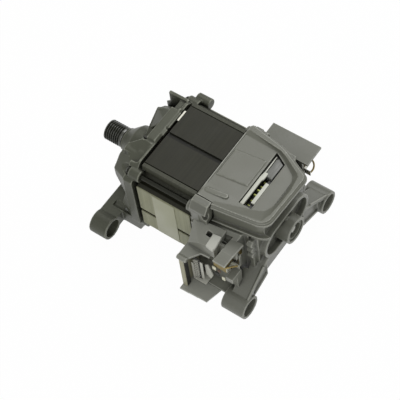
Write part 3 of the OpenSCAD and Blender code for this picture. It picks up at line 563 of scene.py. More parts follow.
def box_shape(low: Point, high: Point, edge: float = 0.0) -> BMesh:
    """A block between two corners, with its edges rounded by a width."""
    shape = bmesh.new()
    bmesh.ops.create_cube(shape, size=1)
    low_m, high_m = Vector(low) * MM, Vector(high) * MM
    bmesh.ops.scale(shape, vec=high_m - low_m, verts=shape.verts)
    bmesh.ops.translate(shape, vec=(low_m + high_m) / 2, verts=shape.verts)
    return rounded(shape, edge) if edge > 0 else shape


def boxes(*corners: tuple[Point, Point], edge: float = 0.0) -> list[BMesh]:
    """Several blocks, each between two corners."""
    return [box_shape(low, high, edge) for low, high in corners]


def turned_shape(profile: Sequence[Flat], steps: int) -> BMesh:
    """Spins a closed profile about the shaft axis.

    Args:
        profile: Points of (distance along the shaft, radius).
        steps: Steps round the shaft.

    Returns:
        The turned shape.
    """
    shape = bmesh.new()
    points = [shape.verts.new((along * MM, radius * MM, 0)) for along, radius in profile]
    edges = [shape.edges.new((points[i - 1], points[i])) for i in range(len(points))]
    bmesh.ops.spin(shape, geom=points + edges, cent=(0, 0, 0), axis=(1, 0, 0), angle=math.tau, steps=steps,
                   use_merge=True)
    closed(shape)
    return shape


def prism(outline: Sequence[Flat], axis: Axis, low: float, high: float, corner: float = 0.0) -> BMesh:
    """Extrudes an outline along an axis.

    Args:
        outline: Corners across the axis, as (y, z), (x, z) or (x, y).
        axis: The axis.
        low, high: Ends of the prism.
        corner: Width of the rounding of the edges along the axis.

    Returns:
        The prism.
    """
    shape = bmesh.new()
    corners = []
    for flat in outline:
        spot = list(flat)
        spot.insert(axis.value, low)
        corners.append(shape.verts.new(Vector(spot) * MM))
    grown = bmesh.ops.extrude_face_region(shape, geom=[shape.faces.new(corners)])
    step = Vector((0, 0, 0))
    step[axis.value] = (high - low) * MM
    bmesh.ops.translate(shape, vec=step, verts=[v for v in grown["geom"] if isinstance(v, BMVert)])
    closed(shape)
    if corner > 0:
        along = [e for e in shape.edges if abs((e.verts[0].co - e.verts[1].co)[axis.value]) > MERGE]
        bevelled(shape, along, corner, CORNER_BEVEL)
    return shape


def hull_shape(points: Iterable[Point]) -> BMesh:
    """The smallest convex shape round some points."""
    shape = bmesh.new()
    for spot in points:
        shape.verts.new(Vector(spot) * MM)
    found = bmesh.ops.convex_hull(shape, input=shape.verts)
    spare = {v for v in found["geom_interior"] + found["geom_unused"] if isinstance(v, BMVert)}
    bmesh.ops.delete(shape, geom=list(spare), context="VERTS")
    closed(shape)
    return shape


def thick(points: Iterable[Point], *drops: float) -> BMesh:
    """The convex shape round some points and their copies lower by each drop."""
    return hull_shape([(x, y, z - drop) for x, y, z in points for drop in drops])


def bar_shape(start: float, end: float, radius: float, y: float = 0.0, z: float = 0.0) -> BMesh:
    """A round bar along X, between two ends."""
    shape = bmesh.new()
    place = Matrix.Translation(Vector(((start + end) / 2, y, z)) * MM) @ Matrix.Rotation(math.pi / 2, 4, "Y")
    bmesh.ops.create_cone(shape, cap_ends=True, segments=ROUND_SIDES, radius1=radius * MM, radius2=radius * MM,
                          depth=(end - start) * MM, matrix=place)
    return shape


def other_side(shape: BMesh) -> BMesh:
    """Mirrors a shape to the other side of the shaft."""
    bmesh.ops.scale(shape, vec=(1, -1, 1), verts=shape.verts)
    bmesh.ops.recalc_face_normals(shape, faces=shape.faces)
    return shape


def both(shape: BMesh) -> list[BMesh]:
    """A shape and its mirror image beyond the shaft."""
    return [shape, other_side(shape.copy())]


def taken_out(holder: Object) -> Mesh:
    """Takes an object with its modifiers out of the scene as a mesh."""
    bpy.context.view_layer.update()
    mesh = bpy.data.meshes.new_from_object(holder.evaluated_get(bpy.context.evaluated_depsgraph_get()))
    discard(holder)
    return mesh


def carved(shape: BMesh, *cuts: BMesh) -> BMesh:
    """Cuts shapes out of another.

    Args:
        shape: The shape to cut, which is freed.
        *cuts: The shapes that are taken away, which are freed.

    Returns:
        What is left.
    """
    block = in_scene("block", as_mesh("block", shape))
    tools = [in_scene("tool", as_mesh("tool", cut)) for cut in cuts]
    for tool in tools:
        knife = block.modifiers.new("cut", "BOOLEAN")
        knife.operation = "DIFFERENCE"
        knife.solver = "EXACT"
        knife.use_self = True
        knife.object = tool
    mesh = taken_out(block)
    for tool in tools:
        discard(tool)
    return as_shape(mesh)


def wire_shape(path: Sequence[Point], radius: float) -> BMesh:
    """Draws a round wire along a smooth path.

    Args:
        path: Points of the path.
        radius: Radius of the wire.

    Returns:
        The wire.
    """
    curve = bpy.data.curves.new("wire path", "CURVE")
    curve.dimensions = "3D"
    curve.bevel_depth = radius * MM
    curve.bevel_resolution = 1
    curve.use_fill_caps = True
    line = curve.splines.new("NURBS")
    line.points.add(len(path) - 1)
    for spot, place in zip(line.points, path):
        spot.co = (*(value * MM for value in place), 1)
    line.use_endpoint_u = True
    line.order_u = 3
    line.resolution_u = 6
    holder = bpy.data.objects.new("wire path", curve)
    shape = as_shape(bpy.data.meshes.new_from_object(holder))
    bpy.data.objects.remove(holder)
    bpy.data.curves.remove(curve)
    closed(shape)
    return shape


def joined(shapes: Iterable[BMesh]) -> BMesh:
    """Puts several shapes, which are freed, into one."""
    whole = bmesh.new()
    for shape in shapes:
        part = as_mesh("part of a piece", shape)
        whole.from_mesh(part)
        bpy.data.meshes.remove(part)
    return whole


@dataclass
class SubAssembly:
    """A group of pieces that are built and dressed together."""

    def put(self, name: str, shape: BMesh, finish: Finish, slot: str, instead_of: Sequence[str] = (),
            body: Body = Body.FRAME) -> Object:
        """Turns a shape into a piece that rides on a body.

        Args:
            name: Name of the piece.
            shape: Its shape, which is freed.
            finish: Its finish.
            slot: The record's material slot; not used.
            instead_of: Nodes of the part that it stands for.
            body: The body that it moves with.

        Returns:
            The new object.
        """
        mesh = as_mesh(name, shape)
        finished(mesh, finish)
        mesh.set_sharp_from_angle(angle=SHARP_TURN)
        return self.enter(name, mesh, body, instead_of)

    def enter(self, name: str, mesh: Mesh, body: Body, instead_of: Sequence[str]) -> Object:
        """Puts a mesh into the scene as a piece on its body, and hides the nodes that it stands for."""
        piece = in_scene(name, mesh)
        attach(piece, body.value)
        if instead_of:
            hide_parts(*instead_of)
        log.info("%s rides on %s with %d faces", name, body.value, len(mesh.polygons))
        return piece

    def solid(self, node: str) -> BMesh:
        """A merged copy of a node's mesh."""
        shape = bmesh.new()
        shape.from_mesh(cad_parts[node].data)
        bmesh.ops.remove_doubles(shape, verts=shape.verts, dist=MERGE)
        return shape

    def soften(self, node: str, finish: Finish, slot: str, shape: BMesh | None = None, voxel: float = 0.5,
               passes: int = 3, keep: float = 0.7) -> None:
        """Replaces a node of the frame by a copy with rounded edges and filleted corners.

        Args:
            node: The node of the part.
            finish: Its finish.
            slot: The record's material slot; not used.
            shape: A worked shape that stands for the node's own, which is freed.
            voxel: Grid of the remesh.
            passes: Passes of smoothing.
            keep: Share of the faces that is kept.
        """
        name = node + "_soft"
        rough = in_scene(name + "_copy", as_mesh(name + "_copy", shape or self.solid(node)))
        grid = rough.modifiers.new("grid", "REMESH")
        grid.mode = "VOXEL"
        grid.voxel_size = voxel * MM
        ease = rough.modifiers.new("ease", "SMOOTH")
        ease.factor = 0.5
        ease.iterations = passes
        rough.modifiers.new("thin", "DECIMATE").ratio = keep
        eased = taken_out(rough)
        eased.name = name
        finished(eased, finish)
        self.enter(name, eased, Body.FRAME, [node])

    def dress(self, finish: Finish, *nodes: str) -> None:
        """Gives nodes of the part, whose shapes are right, a finish."""
        for node in nodes:
            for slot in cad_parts[node].material_slots:
                slot.link = "OBJECT"
                slot.material = finish.material()
            log.info("%s keeps its solid", node)


@dataclass
class DriveEnd(SubAssembly):
    """Cast shield with the bearing hub, and the four long bolts."""

    bolt_y: float = 45.0
    bolt_z: float = 38.5
    seat_x: float = 54.5
    head_h: float = 4.0
    head_r: float = 4.0
    bolt_r: float = 2.5
    bolt_end: float = 132.5
    socket_r: float = 1.9
    socket_d: float = 2.4
    thread_len: float = 12.0
    thread_pitch: float = 0.8
    bell_from: float = 37.5
    bell_r: float = 41.7
    drum_r: float = 43.5
    strip_near: float = -15.0
    strip_far: float = 26.5
    fin_y: float = 38.9
    bolt_sides: int = 24

    def build(self) -> None:
        """Builds the shield and the bolts."""
        self.soften("front_shield", CAST, "cast_alloy", self.shield(), voxel=0.65, passes=4, keep=0.5)
        bolts = joined(self.bolt(side, level) for side in (-1, 1) for level in (-1, 1))
        self.put("long_bolts", bolts, BOLT, "zinc_steel", ["stator_bolts"])

    def shield(self) -> BMesh:
        """The cast shield with a closed bell, a short strip on its flange and a fin.

        Returns:
            The shield in its place.
        """
        near, far, fin = self.strip_near, self.strip_far, self.fin_y
        fall = [(near, 50.2), (near, 60), (-38, 60), (-38, 42)]
        far_side = carved(box_shape((30, far, 10), (50.4, fin, 60)), bar_shape(29, 52, self.drum_r))
        plain = carved(self.solid("front_shield"), prism(fall, Axis.X, 30, 58), far_side,
                       *boxes(((50, far, 45.5), (57, fin, 60)), ((45, -40, 46), (56.5, near, 60))))
        bell = [(57, -16, 49.2), (57, -38, 41.6), (37.5, -24, 44.8), (39, -31.5, 43.4), (33, -24.5, 37),
                (27, -11, 20), (30, -12, 24), (48, -15, 48.8), (33, -30, 30)]
        shoulder = [(33, 24, 37), (33.5, 30, 31), (35, 38, 20), (51, 25, 45), (51, 36, 36), (51, 39, 22),
                    (36, 24, 39.5), (37, 31, 36)]
        web = [(33, 9, 24), (33, 25, 37), (51, 11, 46), (51, 25, 46)]
        hollow = [carved(hull_shape(points), bar_shape(self.bell_from, 61, self.bell_r))
                  for points in (bell, shoulder)]
        return joined([plain, *hollow, thick(web, 0, 3),
                       *boxes(((37, fin, 20), (58.5, fin + 3, 48)), ((60, 6, 46), (61.4, 25, 49.3)),
                              ((56, -3.6, 45), (61.6, 3.6, 49.4)))])

    def bolt(self, side: int, level: int) -> BMesh:
        """One bolt with a socket in its pan head and a thread at its end.

        Args:
            side: Sign of Y.
            level: Sign of Z.

        Returns:
            The bolt in its corner.
        """
        x, top, r, end = self.seat_x, self.head_r, self.bolt_r, self.bolt_end
        face, pitch, start = x - self.head_h, self.thread_pitch, end - self.thread_len
        floor = face + self.socket_d
        profile = [(floor, 0), (floor, self.socket_r), (face, self.socket_r), (face, top - 1.2), (face + 1.2, top),
                   (x, top), (x, r), (start, r)]
        for i in range(int((self.thread_len - 1) / pitch)):
            profile += [(start + (i + 0.5) * pitch, r - 0.35), (start + (i + 1) * pitch, r)]
        profile += [(end - 0.6, r), (end, r - 0.6), (end, 0)]
        shape = turned_shape(profile, self.bolt_sides)
        bmesh.ops.translate(shape, vec=(0, side * self.bolt_y * MM, level * self.bolt_z * MM), verts=shape.verts)
        return shape


@dataclass
class Pack(SubAssembly):
    """Lamination pack with its plate, insulators and field coils."""

    half_w: float = 52.5
    plate_from: float = 81.5
    plate_to: float = 106.0
    plate_half_h: float = 30.5
    plate_t: float = 0.5

    def build(self) -> None:
        """Dresses the pack and adds the plate on the near side."""
        self.dress(SHEETS, "stator_core")
        self.dress(CREAM, "end_insulator_front", "end_insulator_rear")
        self.dress(ENAMEL, "field_coil_upper", "field_coil_lower")
        plate = box_shape((self.plate_from, -self.half_w - self.plate_t, -self.plate_half_h),
                          (self.plate_to, -self.half_w + 0.1, self.plate_half_h), 0.2)
        self.put("side_plate", plate, PLATE, "lamination")


@dataclass
class BrushEnd(SubAssembly):
    """Rear shield, dished hood and the tacho coil."""

    sill: float = 25.5
    shell_x: float = 124.5
    shell_y: float = 53.5
    rear_x: float = 184.0
    neck_y: float = 36.5
    stack_end: float = 122.5
    bolt_y: float = 45.0
    bolt_z: float = 38.5
    post_r: float = 6.0
    ear_len: float = 17.5
    ear_y: float = 51.3
    rim_z: float = 51.5
    rim_h: float = 3.2
    hood_x: float = 123.0
    hood_end: float = 196.0
    side_inset: float = 2.5
    skin: float = 2.5
    dish_front: float = 49.5
    dish_fall: float = 0.048
    foot_turn: float = -8.0
    foot_y: float = 48.5

    def build(self) -> None:
        """Builds the shield and the hood."""
        self.soften("rear_shield", SHELL, "cast_alloy", self.shield(), voxel=0.6, keep=0.55)
        self.soften("hood", HOOD, "moulded_grey", self.hood())
        self.dress(SENSOR, "tacho_coil")
        self.dress(SPRING, "preload_washer")
        self.dress(BEARING, "front_bearing_outer", "rear_bearing_outer")

    def shell_outline(self) -> list[Flat]:
        """Plan of the shield's box."""
        x0, x1, y1, y2 = self.shell_x, self.rear_x, self.shell_y, self.neck_y
        half = [(x0, y1), (x1 - 18, y1), (x1 - 11, y2), (x1, y2)]
        return half + [(x, -y) for x, y in reversed(half)]

    def outline(self, inset: float, lead: float | None = None) -> list[Flat]:
        """Plan of the hood.

        Args:
            inset: Distance inside its rim.
            lead: Distance behind its front edge, where that differs.

        Returns:
            Corners as (x, y).
        """
        front = self.hood_x + (inset if lead is None else lead)
        return [(front, inset - 46.5), (141, inset - 42.5), (187.5 - inset * 0.4, inset - 36),
                (194 - inset, inset - 30.5), (self.hood_end - inset, 26 - inset * 0.6),
                (163 - inset * 0.3, 41.5 - inset), (front, 48.5 - inset)]

    def floor_z(self, x: float) -> float:
        """Height of the dish's floor, which falls to the rear."""
        return self.dish_front - (x - self.hood_x) * self.dish_fall

    def dish(self) -> BMesh:
        """The dish in the hood, with a steep far wall and a wide near slope."""
        front = self.hood_x + 1
        rim = [(front, -43), (154, -39.8), (187, -33.4), (190.2, -24), (191.4, -8.5), (191.4, 9),
               (189.5, 22.4), (187, 25), (170.4, 34.1), (161.5, 37.6), (front, 41.5)]
        floor = [(front, -22.5), (168, -23.8), (178, -22.6), (182.6, -19.8), (185.9, -12.7), (187.2, -2.5),
                 (187.1, 8.2), (185.6, 18.5), (182.6, 23.5), (172, 30.4), (161, 36.6), (front, 36.5)]
        return hull_shape([(x, y, self.rim_z + 0.3) for x, y in rim] + [(x, y, self.floor_z(x)) for x, y in floor])

    def hood(self) -> BMesh:
        """The hood: a double rim, the dish, the slot and the relief on its floor.

        Returns:
            The hood in its place.
        """
        rim, inset, sill = self.rim_z, self.side_inset, self.sill
        front, end = self.hood_x - 1, self.hood_end + 5
        wall = carved(joined([prism(self.outline(inset), Axis.Z, sill, rim - self.rim_h + 0.4, 3),
                              prism(self.outline(-1.5, inset), Axis.Z, sill, sill + 3, 4)]),
                      box_shape((self.rear_x, -31, sill - 1), (end, 40, 46)))
        steps = ((1.2, None, 1.6, 0), (0, None, self.rim_h, 1.2), (-1.2, 0, 4.6, 2.4))
        layers = [prism(self.outline(within, lead), Axis.Z, rim - low, rim - high, 4)
                  for within, lead, low, high in steps]
        inside = carved(prism(self.outline(inset + self.skin), Axis.Z, sill - 1, 43.5, 3),
                        box_shape((self.rear_x - self.skin, -60, sill - 2), (end, 60, 46)))
        slot = prism([(158, -25), (171, -25), (171, 29), (158, 36)], Axis.Z, sill, rim + 2, 0.8)
        ear_in, ear_x = self.bolt_y - self.post_r - 0.5, self.stack_end + self.ear_len + 0.5
        ears = boxes(((front, ear_in, sill - 1), (ear_x, 60, 49)),
                     ((front, -60, sill - 1), (ear_x, -ear_in, rim + 1)))
        shell = carved(joined([wall, *layers]), self.dish(), inside, slot, *ears, bar_shape(front, 125.2, 45.7))
        return joined([shell, self.rib(), self.panel()])

    def rib(self) -> BMesh:
        """The round-ended rib on the near slope of the dish."""
        x, y, length, half, turn = 137.5, -28.5, 8.8, 2.2, math.radians(9)
        ring = [(x + s * length * math.cos(turn) + half * math.cos(a + turn),
                 y + s * length * math.sin(turn) + half * math.sin(a + turn))
                for s, start in ((1, -90), (-1, 90)) for a in (math.radians(start + 30 * i) for i in range(7))]
        return prism(ring, Axis.Z, 47.5, 50.7)

    def panel(self) -> BMesh:
        """The embossed panel on the floor of the dish."""
        corners = [(126, -12), (155.5, -7.5), (155.5, 22.5), (126, 18)]
        return thick([(x, y, self.floor_z(x)) for x, y in corners], 1.5, -0.7)

    def skirt(self) -> BMesh:
        """What the slope below the near foot of the hood, which runs in to the rear, cuts away."""
        top, low = self.sill + 0.4, self.sill - 40
        shape = prism([(-0.33, top), (33, low), (49.5, low), (49.5, top)], Axis.X, 3, 61)
        turn = Matrix.Rotation(math.radians(self.foot_turn), 3, "Z")
        bmesh.ops.rotate(shape, cent=(0, 0, 0), matrix=turn, verts=shape.verts)
        bmesh.ops.translate(shape, vec=Vector((self.hood_x, self.foot_y, 0)) * MM, verts=shape.verts)
        return other_side(shape)

    def shield(self) -> BMesh:
        """The rear shield with its ledge, ears, ribs, and the lips and channels of its arms.

        Returns:
            The shield in its place.
        """
        sill, neck, plan = self.sill, self.neck_y, self.shell_outline()
        channel = [(31, -16.2), (53.5, -32.8), (53.5, -49.5), (31, -42)]
        spaces = boxes(((132.7, -60, sill), (205, 60, 41)), ((124, -38.9, sill), (132.8, 38.9, 41)),
                       ((124, -60, sill), (133, -51.4, 42)), ((171.5, -45, -43), (176.5, -38.8, 26)))
        plain = carved(self.solid("rear_shield"), *spaces, self.skirt(), *both(prism(channel, Axis.X, 185.8, 191)))
        inner = self.outline(self.side_inset + self.skin)
        ledge = carved(prism(plan, Axis.Z, sill - 3.5, sill), prism(inner, Axis.Z, sill - 6, sill + 1),
                       box_shape((120, -60, sill - 6), (135.5, 60, sill + 1)), self.skirt())
        near_plan = [(x, y) for x, y in plan if y < 0] + [(self.rear_x, -20), (139, -20), (139, -40)]
        apron = carved(prism(near_plan, Axis.Z, sill - 10.5, sill - 0.5), prism(inner, Axis.Z, sill - 20, sill + 1),
                       box_shape((120, -60, sill - 20), (139, 0, sill + 1)), self.skirt())
        y, z, end, post = self.bolt_y, self.bolt_z, self.stack_end + self.ear_len, self.bolt_y - self.post_r + 0.4
        ear = prism([(y - 3, sill + 3), (self.ear_y - 1, sill + 3), (self.ear_y, z + self.post_r),
                     (self.ear_y - 5, self.rim_z), (post, self.rim_z), (post, z)], Axis.X, self.stack_end, end)
        catch = box_shape((end - 4, y + 1, z - 4), (end + 1, self.ear_y + 1, z + 4))
        parts = [plain, ledge, apron, other_side(carved(ear, catch)),
                 box_shape((self.shell_x, y - 3, sill - 3.5), (end, self.shell_y - 2, z + 4)),
                 bar_shape(self.stack_end, end, self.post_r, y, z + 4)]
        lip = [(neck + 2, -19.6), (66, -40.6), (66, -37.4), (neck + 2, -16.4)]
        parts += both(prism(lip, Axis.X, 188.6, 190.2))
        parts += both(box_shape((178, neck - 1, -41.5), (182, neck + 5, sill - 3)))
        for drop in (4, 13, 22):
            parts += both(bar_shape(177, 182.5, 3.2, neck + 4.5, sill - 3 - drop))
        return joined(parts)


@dataclass
class TerminalGear(SubAssembly):
    """Terminals under the slot of the hood."""

    slot_x: float = 158.0
    slot_y: float = -25.0
    top: float = 43.5
    rail_top: float = 46.3
    cell_x: float = 162.1
    cell_w: float = 4.6
    cell_z: float = 37.5
    cell_from: float = -22.0
    cell_len: float = 32.0
    rail_w: float = 3.6
    blade_half: float = 0.7
    blade_drops: tuple[float, ...] = (3.5, 3.0, 0.6, 0.4, 2.6, 3.2)

    def build(self) -> None:
        """Builds the block with its rails, the cover and the blades."""
        self.put("rail_block", self.block(), TERMINAL, "cream_plastic", ["terminal_block"])
        self.put("slot_cover", self.cover(), COVER, "slate_plastic", ["terminal_cover"])
        pitch, half = self.cell_len / len(self.blade_drops), self.blade_half
        near, far = self.cell_x + 0.8, self.cell_x + self.cell_w - 0.8
        blades = []
        for i, drop in enumerate(self.blade_drops):
            y = self.cell_from + (i + 0.5) * pitch
            blades.append(box_shape((near, y - half, self.cell_z), (far, y + half, self.top - drop), 0.15))
        self.put("slot_blades", joined(blades), OLIVE, "brass", ["terminal_blades"])

    def block(self) -> BMesh:
        """The block with an open cell between a long and a short rail."""
        x, y, top = self.slot_x, self.slot_y + 0.6, self.top
        x0, x1, end = self.cell_x, self.cell_x + self.cell_w, self.cell_from + self.cell_len
        plan = [(155.5, -27.5), (173.5, -27.5), (173.5, 29.5), (164, 36), (155.5, 36)]
        cell = box_shape((x0, self.cell_from, self.cell_z), (x1, end, top + 5))
        body = carved(prism(plan, Axis.Z, top - 9, top), cell)
        long_rail = [(x + 0.6, y), (x0, y), (x0, 5), (x0 + 1.2, 7), (x0 + 1.2, 14), (x + 1.4, 14), (x + 0.6, 8)]
        sliver = [(x + 1.2, 14), (x + 2.6, 14), (x + 2.2, 33), (x + 1.2, 33)]
        short_rail = box_shape((x1, self.cell_from + 3, top - 1), (x1 + self.rail_w, end - 5, self.rail_top), 0.4)
        return joined([body, rounded(prism(long_rail, Axis.Z, top - 1, self.rail_top), 0.4), short_rail,
                       rounded(prism(sliver, Axis.Z, top - 1, self.rail_top - 0.6), 0.4)])

    def cover(self) -> BMesh:
        """The slate cover with a slanted far end and a raised edge."""
        plate = [(161.2, 12), (169.4, 10), (169.6, 27.6), (163, 32), (161.2, 30)]
        ridge = [(166.4, 11), (169.4, 10), (169.6, 27.6), (166.8, 29.2)]
        return joined([rounded(prism(plate, Axis.Z, self.top - 1, self.rail_top - 0.4), 0.3),
                       rounded(prism(ridge, Axis.Z, self.top, self.rail_top + 0.6), 0.3)])


@dataclass
class ConnectorGear(SubAssembly):
    """Connector housing on the near side, with its contacts."""

    blade_x: float = 134.6
    blade_w: float = 5.4
    blade_t: float = 1.1
    blade_y: float = -68.8
    blade_len: float = 1.6
    blade_slant: float = 2.0
    blade_top: float = -7.0
    blade_pitch: float = 3.4
    blades: int = 9
    start: float = 126.0
    wall: float = -53.5
    roof: float = 5.5
    floor: float = -48.0
    skin: float = 2.5
    front: float = -64.5

    def build(self) -> None:
        """Builds the housing, the pillar, the comb of contacts and thin plates of painted shade."""
        self.soften("connector_housing", HOUSING, "moulded_grey", self.housing())
        pillar = boxes(((126.4, -79.5, -47.8), (131.4, -73.5, 3.2)), ((126.4, -74, -47.8), (129, -56, 3.2)))
        self.soften("contact_carrier", CARRIER, "cream_plastic", joined(pillar), passes=2, keep=0.6)
        self.soften("splash_plate", SPLASH, "moulded_grey", keep=0.6)
        comb = joined(self.contact(i) for i in range(self.blades))
        self.put("contact_comb", comb, SHEET, "tinned", ["contact_blades"])
        # Painted shade: thin near-black plates behind the comb, on the pillar's end face and beside the brush pin.
        shade = boxes(((134.2, -68.8, -41), (141.6, -68.2, -5)), ((131.4, -79, -47), (131.8, -74, 2.5)),
                      ((157.4, -68, -17), (161.4, -67.2, -12.4)))
        self.put("painted_shade_plates", joined(shade), SHADE, "sensor_black")
        pin = box_shape((160.4, -68, -9.5), (163.6, -67.2, -6), 0.4)
        self.put("brush_pin", pin, RESIN, "comm_resin")
        self.put("catch_tongue", self.tongue(), TONGUE, "moulded_grey")
        self.put("contact_bracket", self.bracket(), SHEET, "tinned")
        clips = boxes(((155, -68.4, -9), (158.8, -67.4, -4)), ((164.6, -68.4, -19.5), (168, -67.4, -14.5)), edge=0.3)
        self.put("brush_clips", joined(clips), CLIP, "cream_plastic")

    def housing(self) -> BMesh:
        """The housing: roof, end wall, floor, the skirt below the hood, and the bent canopy over the brush.

        Returns:
            The housing in its place.
        """
        x0, wall, roof, floor, skin, front = self.start, self.wall, self.roof, self.floor, self.skin, self.front
        low = roof - skin
        parts = boxes(((x0, wall - skin, floor), (166, wall, roof)), ((157, wall - skin, 0), (174, wall, 18)),
                      ((x0, -77.5, floor), (x0 + skin, wall, roof)),
                      ((x0, wall - 13.2, floor), (166, wall, floor + skin)),
                      ((168.5, wall - 14.2, -18), (176, wall, -12)), ((168.5, wall - 7, -34), (176, wall, -17)))
        plan = [(x0, wall), (155, wall), (155, -66.5), (143, -67.2), (136, -77.5), (x0, -79)]
        skirt = [(x0, -50, 30), (139.5, -48.5, 29), (157, -44, 25.6), (127.5, front, 8), (130, front, 10.6),
                 (140, front, 17.9), (148.5, front, 20.5), (156, front, 20.3), (x0, wall, low), (156, wall, low),
                 (127.5, front, low), (156, front, low)]
        parts += [prism(plan, Axis.Z, low, roof), bar_shape(x0, 136, skin, -79.5, roof - skin / 2), hull_shape(skirt)]
        bends = [((163, 175.6), -46, 20), ((161.8, 174.4), -61.2, 20), ((160.2, 172.6), -65.6, 16),
                 ((158.8, 172), -71.4, 14.5)]
        for pair in zip(bends, bends[1:]):
            parts.append(thick([(x, y, z) for sides, y, z in pair for x in sides], 0, skin))
        cuts = boxes(((151.7, -71, -5.5), (180.3, -52.5, 5.5)), ((143.2, -57.4, 18), (148.2, -53, 30)))
        return carved(joined(parts), *cuts)

    def tongue(self) -> BMesh:
        """The springy tongue of the catch in the skirt."""
        corners = [(148.9, -53.3, 26), (156.9, -52, 25.6), (157, -63.2, 22.4), (155.8, -66, 21.8),
                   (148.2, -65.2, 22.2)]
        return rounded(thick(corners, 0, 4), 0.5)

    def bracket(self) -> BMesh:
        """The sheet bracket round the comb of contacts, and the cheek beside it."""
        cheek = [(145, -14), (148.5, -11), (153, -26.8), (150, -34.8), (145, -31)]
        strips = boxes(((132, -70.2, -44), (134.2, -69.2, -16)), ((132, -70.2, -45), (146, -60, -43.8)),
                       ((141.6, -69.6, -38), (144.6, -68.8, -8)), edge=0.2)
        return joined([*strips, prism(cheek, Axis.Y, -66.6, -65.6)])

    def contact(self, index: int) -> BMesh:
        """One slanted contact of the comb, by its place from the top."""
        x0, x1, high = self.blade_x, self.blade_x + self.blade_w, self.blade_top - index * self.blade_pitch
        low = high - self.blade_slant
        corners = [(x0, low), (x1, high), (x1, high - self.blade_t), (x0, low - self.blade_t)]
        return prism(corners, Axis.Y, self.blade_y - self.blade_len, self.blade_y)


@dataclass
class BrushGear(SubAssembly):
    """Brush guides, brushes, springs and leads on both sides."""

    brush_x: float = 163.0
    guide_out: float = 67.0
    spring_in: float = 48.8
    spring_out: float = 65.8
    spring_r: float = 2.55
    spring_wire: float = 0.7
    spring_turns: int = 9
    turn_steps: int = 24
    lead_r: float = 0.9
    stroke: float = 8.0

    def build(self) -> None:
        """Builds the far housing, springs and leads, and dresses the rest."""
        self.soften("brush_housing_far", HOOD, "moulded_grey")
        self.dress(BRASS, "brush_guide_near", "brush_guide_far")
        self.dress(CARBON, "carbon_brush_near", "carbon_brush_far")
        self.dress(TINNED, "brush_terminal_near", "brush_terminal_far")
        for side in Side:
            name = side.name.lower()
            self.put("brush_lead_" + name, self.lead(side), BRAID, "copper")
            coil = self.put("coil_spring_" + name, self.spring(side), SPRING, "spring_steel",
                            ["brush_spring_" + name])
            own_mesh(coil)

    def spring(self, side: Side) -> BMesh:
        """The helical spring behind a brush, at rest in its place."""
        low, high = self.spring_in + self.spring_wire, self.spring_out - self.spring_wire
        steps = self.spring_turns * self.turn_steps
        path = []
        for i in range(steps + 1):
            turn = math.tau * self.spring_turns * i / steps
            path.append((self.brush_x + self.spring_r * math.cos(turn), side.value * (low + (high - low) * i / steps),
                         self.spring_r * math.sin(turn)))
        return wire_shape(path, self.spring_wire / 2)

    def lead(self, side: Side) -> BMesh:
        """The short braided lead from the guide's end to the terminal: a loop, or tucked in on the near side."""
        start, end = (3, -0.3, 2), (13, -9.2, 0)
        loop = [(5, 1.2, 4), (10, 0.6, 8), (14.5, -2, 7), (15.5, -5, 3), (14.5, -8.5, 1)]
        tucked = [(6, 0.4, 3.6), (9, -2, 4.4), (11.5, -6, 3)]
        path = [start, *(loop if side is Side.FAR else tucked), end]
        return wire_shape([(self.brush_x + x, side.value * (self.guide_out + y), z) for x, y, z in path], self.lead_r)


@dataclass
class Rotor(SubAssembly):
    """Everything that turns: shaft, pulley, fan, armature and commutator."""

    pulley_r: float = 10.25
    pulley_half: float = 10.0
    rib_pitch: float = 2.34
    groove_depth: float = 1.8
    grooves: int = 7
    first_rib: float = 1.2
    bore_r: float = 6.02
    sides: int = 72

    def build(self) -> None:
        """Turns the pulley and dresses the rest."""
        pulley = turned_shape(self.pulley_profile(), self.sides)
        self.put("ribbed_pulley", pulley, PULLEY, "pulley_steel", ["pulley"], Body.ROTOR)
        self.dress(SHAFT, "shaft")
        self.dress(FAN, "cooling_fan")
        self.dress(ROTOR_SHEETS, "armature_core")
        self.dress(ENAMEL, "armature_winding")
        self.dress(FIBRE, "armature_end_discs")
        self.dress(RESIN, "commutator_hub")
        self.dress(COPPER, "commutator_bars")
        self.dress(BEARING, "front_bearing_inner", "rear_bearing_inner", "front_bearing_balls", "rear_bearing_balls")
        self.dress(FERRITE, "tacho_magnet")

    def pulley_profile(self) -> list[Flat]:
        """Outline of the pulley with round crests on its ribs.

        Returns:
            Points of (distance along the shaft, radius).
        """
        half, r, pitch, root = self.pulley_half, self.pulley_r, self.rib_pitch, self.pulley_r - self.groove_depth
        rim = [(half, self.bore_r), (half, r - 0.8), (half - 0.25, r - 0.25), (half - 0.8, r)]
        groove = [(0.15, r), (0.35, r - 0.25), (pitch / 2 - 0.2, root + 0.1), (pitch / 2, root),
                  (pitch / 2 + 0.2, root + 0.1), (pitch - 0.35, r - 0.25), (pitch - 0.15, r)]
        points = [(-x, y) for x, y in rim]
        for i in range(self.grooves):
            points += [(self.first_rib - half + i * pitch + x, y) for x, y in groove]
        return points + rim[::-1]


